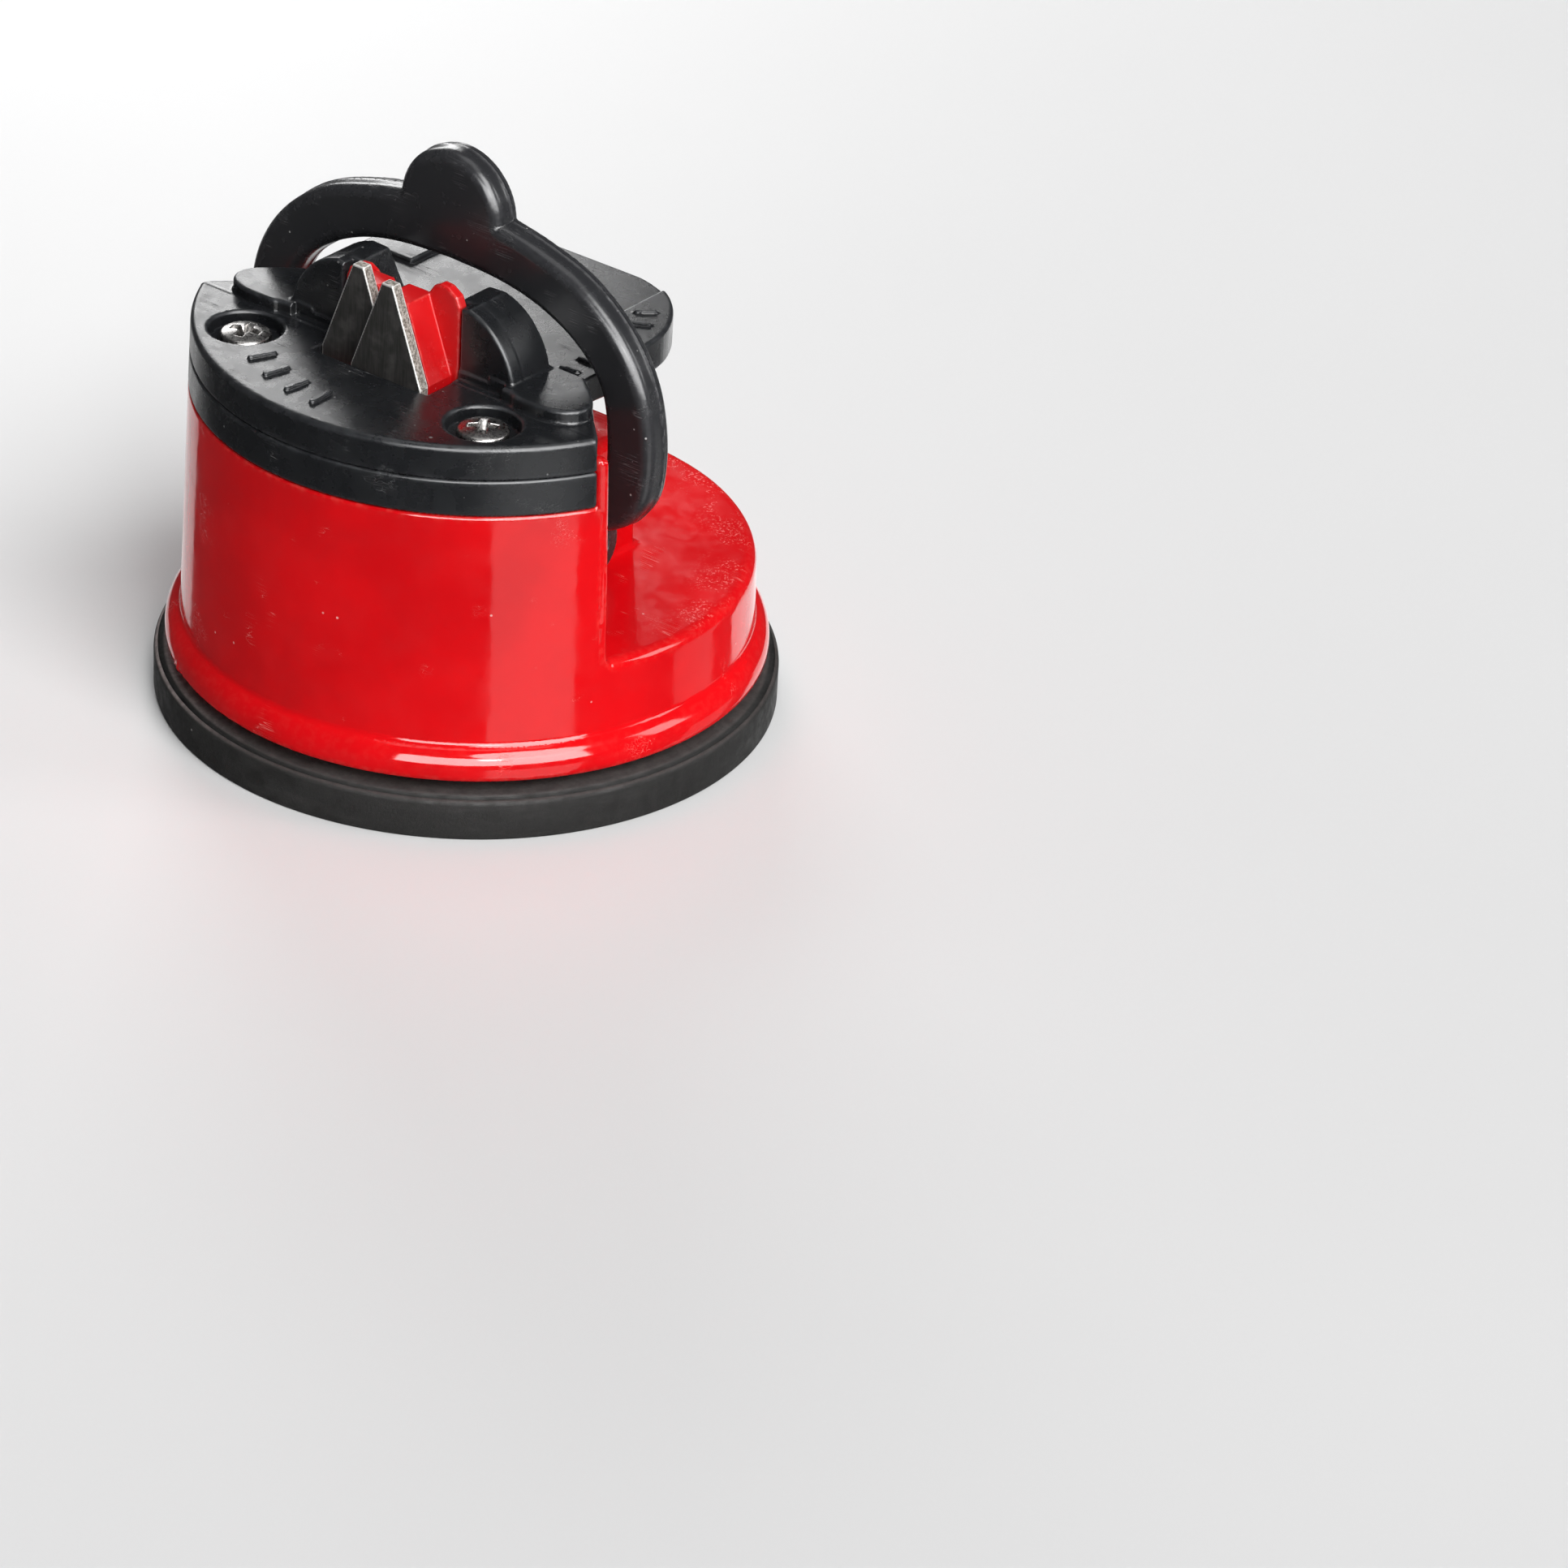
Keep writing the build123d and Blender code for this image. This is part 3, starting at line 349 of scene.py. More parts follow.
def housing_field(x, y, z):
    """The red moulding: drum, front tower, shelf, cam box and skirt, all hollow."""
    radius = np.hypot(x, y)
    drum = drum_field(x, y, z)
    side, depth = np.abs(x), np.abs(y)
    wall = both_round(z - WALL_TOP, y - WALL_BACK, WALL_TOP_ROUND)
    wall = both_round(wall, WALL_FRONT - y, WALL_FRONT_ROUND)
    tower = both(y - WALL_FRONT - TOWER_FRONT_OVERLAP, z - TOWER_TOP)
    tops = either_round(z - SHELF, either(wall, tower), SHELF_FILLET)
    rim_round = RIM_ROUND + RIM_ROUND_MORE * np.clip((y - WALL_FRONT) / RIM_ROUND_RUN, 0, 1)
    cam_box = both_round(slab(x, -CAM_BOX[0], CAM_BOX[0]), y - CAM_BOX[1], CAM_BOX_SIDE_ROUND)
    cam_box = both_round(cam_box, z - CAM_BOX[2], CAM_BOX_TOP_ROUND)
    cam_box = both(cam_box, WALL_FRONT - y)
    body = both_round(drum, either_round(tops, cam_box, SHELF_FILLET), rim_round)
    rise = np.maximum(z - SKIRT_MIDDLE, 0) * SKIRT_TALLNESS
    bulge = np.hypot(radius - (SKIRT_RADIUS - SKIRT_BULGE), rise) - SKIRT_BULGE
    skirt = both_round(bulge, SKIRT_BOTTOM - z, SKIRT_EDGE_ROUND)
    skirt = both(skirt, CAVITY_RADIUS - radius)
    body = either_round(both(body, SKIRT_BOTTOM + SKIRT_OVERLAP - z), skirt, SKIRT_FILLET)
    # Hollows: base, tower and cam box, and the bores that the bushes sit in.
    body = without(body, both(radius - CAVITY_RADIUS, z - (SHELF - SHELF_THICKNESS)))
    body = without(body, both(radius - MOUTH_RADIUS, z - (SKIRT_BOTTOM + MOUTH_DEPTH)), MOUTH_ROUND)
    tower_hollow = both(radius - TOWER_ROOM_RADIUS, y - WALL_FRONT, slab(z, SHELF, TOWER_TOP + 1))
    column = rod(side, y, SCREW_PLACE, COLUMN_RADIUS)
    body = without(body, without(tower_hollow, column))
    room = both(slab(x, -CAM_ROOM[0], CAM_ROOM[0]), slab(y, WALL_BACK, CAM_ROOM[1]))
    body = without(body, both(room, slab(z, SHELF - SHELF_THICKNESS - ROOM_OVERLAP, CAM_ROOM[2])))
    boss_height = slab(z, guide_high[2], SHELF - BOSS_TOP_BELOW_SHELF)
    body = either(body, both(rod(side, depth, BOSS_PLACE, BOSS_RADIUS), boss_height))
    body = without(body, both(rod(side, depth, BOSS_PLACE, BOSS_PILOT_RADIUS), z - BOSS_PILOT_TOP))
    body = without(body, both(rod(side, y, SCREW_PLACE, PILOT_RADIUS), PILOT_BOTTOM - z))
    for angle, size in BURRS:
        u = x - math.cos(angle) * (SKIRT_RADIUS - BURR_INSET)
        v = y - math.sin(angle) * (SKIRT_RADIUS - BURR_INSET)
        lump = np.sqrt(u**2 + v**2 + (z - SKIRT_BOTTOM - BURR_HEIGHT) ** 2) - size
        body = either_round(body, both(lump, SKIRT_BOTTOM - z), BURR_FILLET)
    seat = both(rod(y, z, AXLE_PLACE, BUSH_SEAT_RADIUS), slab(side, BUSH_SEAT_START, BUSH_SEAT_END))
    return without(body, seat)


# -------------------------------------------------------------------------- lever
LEVER_FRONT, LEVER_BACK = lever_low[1], -1.8
TAB_TOP = lever_high[2]
LEVER_OUTER = [
    (6.2, 53.1), (10.4, 52.2), (15.5, 50.5), (19.4, 47.9), (22.3, 44.8), (24.2, 41.2),
    (25.1, 37.2), (25.25, 33.6), (24.7, 30.2), (22.9, 27.4), (20.6, 25.8), (18.0, 24.7),
]
LEVER_FOOT = [(16.0, 23.2), (15.0, 21.2), (15.0, 17.4), (13.4, 17.4), (13.4, 26.6)]
LEVER_INNER = [
    (15.2, 27.6), (17.2, 28.4), (18.9, 30.2), (19.6, 32.8), (19.6, 35.6), (19.3, 38.3),
    (18.6, 40.6), (17.0, 42.7), (14.2, 44.8), (10.2, 46.5), (5.6, 47.4), (0.0, 47.7),
]
HUB_RADIUS, HUB_INNER, HUB_OUTER, HUB_ROUND, HUB_FILLET = 3.4, 13.4, 15.0, 0.25, 0.4
LEVER_FRONT_ROUND, LEVER_BACK_ROUND = 1.15, 0.45
# The seam's ridge: place in front of the back, width, height, and how far the outline is cut back.
SEAM_INSET, SEAM_WIDTH, SEAM_HEIGHT, SEAM_ROOM = 0.95, 0.16, 0.11, 0.05


def smooth_through(points, parts=6):
    """A Catmull-Rom curve through the points."""
    ends = [np.array(points[0]) * 2 - points[1]] + [np.array(p) for p in points]
    ends.append(np.array(points[-1]) * 2 - points[-2])
    curve = []
    for a, b, c, d in zip(ends, ends[1:], ends[2:], ends[3:]):
        for number in range(parts):
            t = number / parts
            q = 2 * b + (c - a) * t + (2 * a - 5 * b + 4 * c - d) * t**2 + (3 * b - a - 3 * c + d) * t**3
            curve.append(tuple(q / 2))
    return curve + [tuple(ends[-2])]


def tab_arc(top, neck, parts=22):
    """Right half of the thumb tab: a circle through its top and its neck."""
    rise = top - neck[1]
    radius = (neck[0] ** 2 + rise**2) / (2 * rise)
    angles = spread(0, math.atan2(neck[0], neck[1] - top + radius), parts)[:-1]
    return [(radius * math.sin(a), top - radius + radius * math.cos(a)) for a in angles]


LEVER_HALF = tab_arc(TAB_TOP, LEVER_OUTER[0]) + smooth_through(LEVER_OUTER)
LEVER_HALF += LEVER_FOOT + smooth_through(LEVER_INNER)


def lever_field(x, y, z):
    """The arch with its thumb tab, and a hub at each end."""
    side = np.abs(x)
    blank = polyline_field(side, z, LEVER_HALF, closed=False)
    # A fine ridge round the outside, where the two halves of the mould met.
    seam = np.exp(-(((y - LEVER_BACK + SEAM_INSET) / SEAM_WIDTH) ** 2)) * SEAM_HEIGHT
    arch = both_round(blank + SEAM_ROOM - seam, LEVER_FRONT - y, LEVER_FRONT_ROUND)
    arch = both_round(arch, y - LEVER_BACK, LEVER_BACK_ROUND)
    arch = both(arch, z - TAB_TOP)
    hub = both_round(rod(y, z, AXLE_PLACE, HUB_RADIUS), slab(side, HUB_INNER, HUB_OUTER), HUB_ROUND)
    return without(either_round(arch, hub, HUB_FILLET), rod(y, z, AXLE_PLACE, AXLE_RADIUS))


# ------------------------------------------------------------------ black head
LAYER_TOP = 40.9
LOBE_TOP = 41.4
LAYER_UNDERSIDE = 38.0
CUT_Y = WALL_FRONT - 0.1
CARRIER_TOP = carrier_high[2]
INSERT_Y = -14.9
SCREW_HOLE_RADIUS = 1.8
SMOOTH_PARTS = 4
HEAD_EDGE_ROUND, CAP_TOP_ROUND, CARRIER_TOP_ROUND = 0.3, 0.55, 0.35
PLUG_RADIUS, PLUG_GAP, PLUG_OVERLAP, PLUG_COLUMN_RADIUS = 25.3, 0.3, 0.5, 3.9
# Half length, half width and floor of the socket for the insert.
SOCKET = (8.1, 2.2, 34.4)
LAYER_OUTLINE = [
    (0.0, -12.2), (12.6, -12.2), (15.2, -12.7), (18.4, -12.7), (20.7, -11.8), (21.6, -10.1), (20.9, -8.3),
    (19.0, -6.5), (17.2, -4.6), (17.3, -0.8), (17.4, 3.2), (17.25, 5.6), (16.7, 8.2), (15.4, 10.8),
    (13.6, 13.1), (11.2, 15.0), (8.0, 16.2), (4.8, 16.4), (0.0, 16.4),
]
WEB_OUTLINE = [(0.0, -12.3), (24.4, -12.3), (24.0, -11.4), (20.0, -7.4), (17.2, -4.6), (0.0, -4.6)]
GUARD_OUTER = [
    (13.8, 39.5), (13.75, 41.2), (13.45, 42.5), (12.9, 43.8),
    (12.0, 45.1), (10.9, 46.2), (9.6, 47.0), (8.2, 47.5),
]
GUARD_INNER_FRONT = [(7.2, 47.3), (7.2, 39.5)]
GUARD_INNER_BACK = [(6.2, 47.4), (3.7, 42.9), (2.9, 39.5)]
GUARD_FRONT_DEPTH = (-11.4, -9.6)
GUARD_BACK_DEPTH = (-10.0, -5.7)
GUARD_ROUND, GUARD_FILLET = 0.35, 0.3
LAYER_TOP_ROUND, LAYER_BOTTOM_ROUND, LAYER_STEP_ROUND = 0.35, 0.25, 0.2
WEB_FILLET, PLATE_FILLET = 0.2, 0.3
# The sunk middle of the layer, as half width, front and back of its long and its wide part.
LOW_MIDDLE = [(11.0, -12.4, 17.2), (20.0, -5.2, 3.2)]
CHANNEL_HALF, CHANNEL_FRONT, CHANNEL_FLOOR, CHANNEL_ROUND = 4.6, -11.0, 40.2, 0.15
FRONT_CUT_HALF, FRONT_CUT_Y = 13.0, -11.4
COUNTERBORE_RADIUS, COUNTERBORE_FLOOR, COUNTERBORE_ROUND = 3.6, 38.5, 0.3
WINDOW_HALF, WINDOW_DEPTH, WINDOW_FLOOR, WINDOW_ROUND = 7.1, (-15.9, -10.0), 37.0, 0.1


def carrier_field(x, y, z):
    """The black ring on the tower, with the plug that reaches into it."""
    radius = np.hypot(x, y)
    side = np.abs(x)
    ring = both_round(drum_field(x, y, z), z - CARRIER_TOP, CARRIER_TOP_ROUND)
    ring = both_round(ring, TOWER_TOP - z, HEAD_EDGE_ROUND)
    ring = both_round(ring, y - CUT_Y, HEAD_EDGE_ROUND)
    plug_height = slab(z, carrier_low[2], TOWER_TOP + PLUG_OVERLAP)
    plug = both(radius - PLUG_RADIUS, y - WALL_FRONT + PLUG_GAP, plug_height)
    plug = without(plug, rod(side, y, SCREW_PLACE, PLUG_COLUMN_RADIUS))
    ring = either(ring, plug)
    ring = without(ring, rod(side, y, SCREW_PLACE, SCREW_HOLE_RADIUS))
    return without(ring, both(side - SOCKET[0], np.abs(y - INSERT_Y) - SOCKET[1], SOCKET[2] - z))


RIB_ROUND, RIB_FILLET = 0.08, 0.06


def rib(x, y, z, centre, turn, size, low, high):
    """A short raised bar: centre and turn on the plate, length and width, lowest and highest Z."""
    u = (x - centre[0]) * math.cos(turn) + (y - centre[1]) * math.sin(turn)
    v = (y - centre[1]) * math.cos(turn) - (x - centre[0]) * math.sin(turn)
    bar = np.hypot(np.maximum(np.abs(u) - size[0] / 2, 0), v) - size[1] / 2
    return both_round(bar, slab(z, low, high), RIB_ROUND)


FRONT_RIBS = [((-9.4, -20.4), 1.15), ((-6.2, -22.0), 1.32), ((-2.9, -22.9), 1.45), ((0.4, -23.3), 1.6)]
LOBE_RIBS = [((14.2, 7.2), 0.5), ((13.0, 9.6), 0.7), ((-14.2, 7.2), -0.5), ((-13.0, 9.6), -0.7)]
MIDDLE_RIBS = [((14.6, -6.6), 0.3), ((14.8, -4.2), 0.15), ((14.9, -1.8), 0.0)]
# Each row of ribs: centres and turns, length and width, lowest and highest Z.
RIB_ROWS = [
    (FRONT_RIBS, (2.4, 0.6), 39.0, HEAD_TOP + 0.38),
    (LOBE_RIBS, (1.7, 0.45), 40.0, LOBE_TOP + 0.32),
    (MIDDLE_RIBS, (1.7, 0.45), 40.0, LAYER_TOP + 0.32),
]


def plate_field(x, y, z):
    """The head's plate: cap, rear lobes, channel, guards, ribs and screw holes."""
    side = np.abs(x)
    cap = both_round(drum_field(x, y, z), z - HEAD_TOP, CAP_TOP_ROUND)
    cap = both_round(cap, y - CUT_Y, HEAD_EDGE_ROUND)
    cap = both_round(cap, CARRIER_TOP - z, HEAD_EDGE_ROUND)
    web = both_round(polyline_field(side, y, WEB_OUTLINE, closed=False), z - HEAD_TOP, HEAD_EDGE_ROUND)
    web = both(web, LAYER_UNDERSIDE - z)
    outline = polyline_field(side, y, smooth_through(LAYER_OUTLINE, SMOOTH_PARTS), closed=False)
    layer = both_round(outline, z - LOBE_TOP, LAYER_TOP_ROUND)
    layer = both_round(layer, LAYER_UNDERSIDE - z, LAYER_BOTTOM_ROUND)
    low_middle = either(*[both(side - half, slab(y, start, end)) for half, start, end in LOW_MIDDLE])
    layer = without(layer, both(low_middle, LAYER_TOP - z), LAYER_STEP_ROUND)
    channel = both(side - CHANNEL_HALF, y - CHANNEL_FRONT, CHANNEL_FLOOR - z)
    layer = without(layer, channel, CHANNEL_ROUND)
    layer = without(layer, both(side - FRONT_CUT_HALF, y - FRONT_CUT_Y, HEAD_TOP - z))
    plate = either_round(either_round(cap, web, WEB_FILLET), layer, PLATE_FILLET)
    guards = []
    for inner, depth in ((GUARD_INNER_FRONT, GUARD_FRONT_DEPTH), (GUARD_INNER_BACK, GUARD_BACK_DEPTH)):
        outline = smooth_through(GUARD_OUTER, SMOOTH_PARTS) + inner
        guards.append(both_round(polyline_field(side, z, outline), slab(y, *depth), GUARD_ROUND))
    plate = either_round(plate, either(*guards), GUARD_FILLET)
    for row, size, low, high in RIB_ROWS:
        for centre, turn in row:
            plate = either_round(plate, rib(x, y, z, centre, turn, size, low, high), RIB_FILLET)
    bore = rod(side, y, SCREW_PLACE, COUNTERBORE_RADIUS)
    plate = without(plate, both(bore, COUNTERBORE_FLOOR - z), COUNTERBORE_ROUND)
    plate = without(plate, rod(side, y, SCREW_PLACE, SCREW_HOLE_RADIUS))
    socket = both(side - SOCKET[0], np.abs(y - INSERT_Y) - SOCKET[1], z - LAYER_UNDERSIDE)
    window = both(side - WINDOW_HALF, slab(y, *WINDOW_DEPTH), WINDOW_FLOOR - z)
    return without(without(plate, socket), window, WINDOW_ROUND)


# ------------------------------------------------------------- V insert and blades
BLADE_SHIFT = -0.4
BLADE_OFFSET = 2.3
BLADE_FRONT = -15.8
BLADE_THICKNESS = 1.2
BLADE_APEX = 49.6
BLADE_BOTTOM = 37.2
BLADE_ROUND = 0.1
# Half width of a blade's top, and its growth for each millimetre down to the head.
BLADE_TIP_HALF, BLADE_SPREAD = 0.65, 0.38
BLADE_SLOT_GAP = 0.1
INSERT_BASE_HALF, INSERT_BASE_DEPTH, INSERT_BASE_ROUND = 8.0, 2.1, 0.2
LEFT_TOOTH_DROP = 1.1
TOOTH_DEPTH, TOOTH_ROUND = (-11.3, -10.1), 0.3
WEDGE_BOTTOM, WEDGE_APEX, WEDGE_DEPTH = 37.5, 47.6, (-14.6, -10.8)
WEDGE_ROUND, WEDGE_FILLET = 0.2, 0.15
TOOTH_OUTLINE = [
    (0.0, 43.6), (0.4, 43.6), (3.1, 47.6), (3.7, 48.5), (4.6, 49.0), (5.5, 48.9),
    (6.6, 48.2), (7.0, 47.2), (7.0, 38.0), (0.0, 38.0),
]


def blade_outline(centre, bottom, apex, margin=0.0):
    """Corners of a blade: a square foot, then sides that taper to a narrow flat top."""
    foot = BLADE_TIP_HALF + (BLADE_APEX - HEAD_TOP) * BLADE_SPREAD + margin
    top = BLADE_TIP_HALF + (BLADE_APEX - apex) * BLADE_SPREAD + margin
    right = [(centre + foot, bottom), (centre + foot, HEAD_TOP), (centre + top, apex)]
    return right + [(2 * centre - u, v) for u, v in reversed(right)]


def blade_place(hand):
    """Centre and front face of the right (1) or left (-1) blade: the right one stands in front."""
    front = BLADE_FRONT if hand > 0 else BLADE_FRONT + BLADE_THICKNESS
    return BLADE_SHIFT + hand * BLADE_OFFSET, front


def insert_field(x, y, z):
    """The red insert: base, two teeth and the wedges that the blades lean on."""
    side = np.abs(x)
    base = both_round(side - INSERT_BASE_HALF, np.abs(y - INSERT_Y) - INSERT_BASE_DEPTH, INSERT_BASE_ROUND)
    base = both(base, slab(z, insert_low[2], LAYER_UNDERSIDE))
    lowered = z + np.where(x < 0, LEFT_TOOTH_DROP, 0.0)
    outline = polyline_field(side, lowered, TOOTH_OUTLINE, closed=False)
    teeth = both_round(outline, slab(y, *TOOTH_DEPTH), TOOTH_ROUND)
    teeth = both(teeth, LAYER_UNDERSIDE - z)
    shape = either(base, teeth)
    for hand in (1, -1):
        centre, _ = blade_place(hand)
        outline = polyline_field(x, z, blade_outline(centre, WEDGE_BOTTOM, WEDGE_APEX))
        wedge = both_round(outline, slab(y, *WEDGE_DEPTH), WEDGE_ROUND)
        shape = either_round(shape, wedge, WEDGE_FILLET)
    gap = BLADE_SLOT_GAP
    for hand in (1, -1):
        centre, front = blade_place(hand)
        slot = polyline_field(x, z, blade_outline(centre, BLADE_BOTTOM - gap, BLADE_APEX + 1, gap))
        shape = without(shape, both(slot, slab(y, front - gap, front + BLADE_THICKNESS + gap)))
    return shape


def blade_field(hand):
    """The distance field of one blade."""
    centre, front = blade_place(hand)
    outline = blade_outline(centre, BLADE_BOTTOM, BLADE_APEX)

    def field(x, y, z):
        flat = polyline_field(x, z, outline)
        return both_round(flat, slab(y, front, front + BLADE_THICKNESS), BLADE_ROUND)

    return field


# ------------------------------------------------------------------------- screws
SCREW_TOP = screw_high[2]
HEAD_RADIUS, HEAD_RIM_ROUND, HEAD_SEAT_ROUND, DOME_RADIUS = 2.55, 0.3, 0.15, 7.5
THREAD_RADIUS, THREAD_DEPTH, THREAD_PITCH = 1.47, 0.35, 1.1
SHANK_OVERLAP, TIP_RADIUS, TIP_SLOPE = 0.3, 0.3, 0.7
# The cross recess: half width and reach of a wing and of the middle at the top, and their loss with depth.
WING_HALF, WING_HALF_LOSS = 0.42, 0.12
WING_REACH, WING_REACH_LOSS = 1.65, 0.75
MIDDLE_HALF, MIDDLE_LOSS, MIDDLE_SCALE = 0.75, 0.35, 0.707
RECESS_DEPTH, RECESS_SCALE, RECESS_ROUND = 1.1, 0.8, 0.06


def screw_field(hand, turn):
    """The distance field of the right (1) or left (-1) head screw, with its recess turned."""
    def field(x, y, z):
        u, v = x - hand * SCREW_X, y - SCREW_Y
        radius = np.hypot(u, v)
        dome = np.hypot(radius, z - SCREW_TOP + DOME_RADIUS) - DOME_RADIUS
        head = both_round(radius - HEAD_RADIUS, dome, HEAD_RIM_ROUND)
        head = both_round(head, COUNTERBORE_FLOOR - z, HEAD_SEAT_ROUND)
        wave = np.arctan2(v, u) / (2 * math.pi) + z / THREAD_PITCH
        thread = np.abs(wave - np.round(wave)) * 2
        shank = radius - THREAD_RADIUS + THREAD_DEPTH * thread
        shank = both(shank, screw_low[2] - z, z - COUNTERBORE_FLOOR - SHANK_OVERLAP)
        shank = both(shank, (radius - TIP_RADIUS - (z - screw_low[2])) * TIP_SLOPE)
        a = np.abs(u * math.cos(turn) + v * math.sin(turn))
        b = np.abs(v * math.cos(turn) - u * math.sin(turn))
        depth = SCREW_TOP - z
        narrow = WING_HALF - WING_HALF_LOSS * depth
        reach = WING_REACH - WING_REACH_LOSS * depth
        cross = either(both(a - narrow, b - reach), both(b - narrow, a - reach))
        cross = either(cross, (a + b) * MIDDLE_SCALE - MIDDLE_HALF + MIDDLE_LOSS * depth)
        cross = both(cross * RECESS_SCALE, depth - RECESS_DEPTH)
        return without(either(head, shank), cross, RECESS_ROUND)

    return field


# ------------------------------------------------------------------------ rubber
def arc(centre, radius, start, end, parts=5):
    """Points on a circular arc, in degrees."""
    angles = [math.radians(angle) for angle in spread(start, end, parts)]
    return [(centre[0] + radius * math.cos(a), centre[1] + radius * math.sin(a)) for a in angles]


# The cup's section as radius and height: its hollow underside, its upper side and its collar.
DISC_UNDER = [(0.0, 1.2), (6.0, 1.17), (12.0, 1.06), (18.0, 0.85), (23.0, 0.45), (26.6, 0.06), (27.2, 0.0)]
DISC_UPPER = [(30.6, 4.2), (29.4, 4.3), (24.5, 5.05), (20.0, 5.6), (15.5, 5.98), (12.0, 6.2)]
DISC_COLLAR = [(10.4, 6.45), (9.7, 6.9), (9.5, 7.3)]
DISC_LIP_ROUND, DISC_RIM_ROUND, DISC_RIM_HEIGHT = 0.2, 0.55, 3.65
COLLAR_RADIUS, COLLAR_ROUND = 9.2, 0.3


def disc_profile():
    """Outline of the rubber cup from the dome's middle out, round the rim and back in."""
    rim, top = disc_high[0], disc_high[2]
    edge = arc((rim - DISC_LIP_ROUND, DISC_LIP_ROUND), DISC_LIP_ROUND, -90, 0, 3)
    edge += arc((rim - DISC_RIM_ROUND, DISC_RIM_HEIGHT), DISC_RIM_ROUND, 0, 90, 6)
    collar = DISC_COLLAR + arc((COLLAR_RADIUS, top - COLLAR_ROUND), COLLAR_ROUND, 0, 90, 3) + [(0.0, top)]
    return DISC_UNDER + edge + DISC_UPPER + collar


# ---------------------------------------------------------------------- materials
def new_material(name):
    material = bpy.data.materials.new(name)
    material.use_nodes = True
    tree = material.node_tree
    shader = tree.nodes["Principled BSDF"]
    return material, tree, shader


def feed(tree, socket, value):
    """Gives an input a value or another node's output."""
    if isinstance(value, bpy.types.NodeSocket):
        tree.links.new(value, socket)
    else:
        socket.default_value = value


def node(tree, kind, inputs=None, **settings):
    """Adds a shader node. Its inputs come by name, its other settings as keywords."""
    made = tree.nodes.new(kind)
    for key, value in settings.items():
        setattr(made, key, value)
    for key, value in (inputs or {}).items():
        feed(tree, made.inputs[key], value)
    return made


def place(tree, scale):
    """Object coordinates in millimetres times a scale for each axis."""
    coords = node(tree, "ShaderNodeTexCoord").outputs["Object"]
    mapping = node(tree, "ShaderNodeMapping", {"Vector": coords})
    mapping.inputs["Scale"].default_value = [part / MM for part in scale]
    return mapping.outputs["Vector"]


def noise(tree, scale, detail=3.0, rough=0.55):
    """Noise with features of 1 / scale millimetres."""
    scale = scale if isinstance(scale, (list, tuple)) else (scale,) * 3
    made = node(
        tree, "ShaderNodeTexNoise",
        {"Vector": place(tree, scale), "Scale": 1.0, "Detail": detail, "Roughness": rough},
    )
    return made.outputs["Fac"]


def ramp(tree, value, low, high, to_low=0.0, to_high=1.0):
    """Smooth step of a value from low to high."""
    made = node(
        tree, "ShaderNodeMapRange",
        {"Value": value, "From Min": low, "From Max": high, "To Min": to_low, "To Max": to_high},
        interpolation_type="SMOOTHSTEP", clamp=True,
    )
    return made.outputs["Result"]


def math_node(tree, operation, a, b=0.0):
    """One operation on one or two values."""
    made = node(tree, "ShaderNodeMath", operation=operation)
    for socket, value in zip(made.inputs, (a, b)):
        feed(tree, socket, value)
    return made.outputs[0]


def times(tree, a, b):
    return math_node(tree, "MULTIPLY", a, b)


def largest(tree, a, b):
    return math_node(tree, "MAXIMUM", a, b)


def distance_to(tree, value, middle):
    return math_node(tree, "ABSOLUTE", math_node(tree, "SUBTRACT", value, middle))


def position_parts(tree):
    """X, Y and Z of the surface point in the object's own frame, in metres."""
    coords = node(tree, "ShaderNodeTexCoord").outputs["Object"]
    return node(tree, "ShaderNodeSeparateXYZ", {"Vector": coords}).outputs


def normal_parts(tree):
    """X, Y and Z of the surface normal."""
    normal = node(tree, "ShaderNodeNewGeometry").outputs["Normal"]
    return node(tree, "ShaderNodeSeparateXYZ", {"Vector": normal}).outputs


# A mix node's first input and its result, by kind.
MIX_SOCKETS = {"FLOAT": (2, 0), "RGBA": (6, 2)}


def mix(tree, share, a, b, kind="RGBA"):
    """Mixes two colours, or two values, by a share."""
    made = node(tree, "ShaderNodeMix", data_type=kind)
    first, result = MIX_SOCKETS[kind]
    for number, value in ((0, share), (first, a), (first + 1, b)):
        feed(tree, made.inputs[number], (*value, 1.0) if isinstance(value, tuple) else value)
    return made.outputs[result]


def coat(tree, shader, colour, rough):
    """Connects a material's colour and roughness."""
    tree.links.new(colour, shader.inputs["Base Color"])
    tree.links.new(rough, shader.inputs["Roughness"])


def attribute(tree, name):
    return node(tree, "ShaderNodeAttribute", attribute_name=name).outputs["Fac"]


def scratches(tree, turn, density, fineness=1.0):
    """Sparse hair-thin lines that run one way, broken up by a slow noise."""
    coords = node(tree, "ShaderNodeTexCoord").outputs["Object"]
    mapping = node(tree, "ShaderNodeMapping", {"Vector": coords})
    mapping.inputs["Rotation"].default_value = turn
    mapping.inputs["Scale"].default_value = [s / MM for s in (0.06, 2.6 * fineness, 2.6 * fineness)]
    lines = node(
        tree, "ShaderNodeTexNoise",
        {"Vector": mapping.outputs["Vector"], "Scale": 1.0, "Detail": 0.0, "Roughness": 0.5},
    ).outputs["Fac"]
    thin = ramp(tree, distance_to(tree, lines, 0.5), 0.0, 0.012, 1.0, 0.0)
    patches = ramp(tree, noise(tree, 0.22, 2.0), 0.62 - density, 0.72 - density)
    return times(tree, thin, patches)


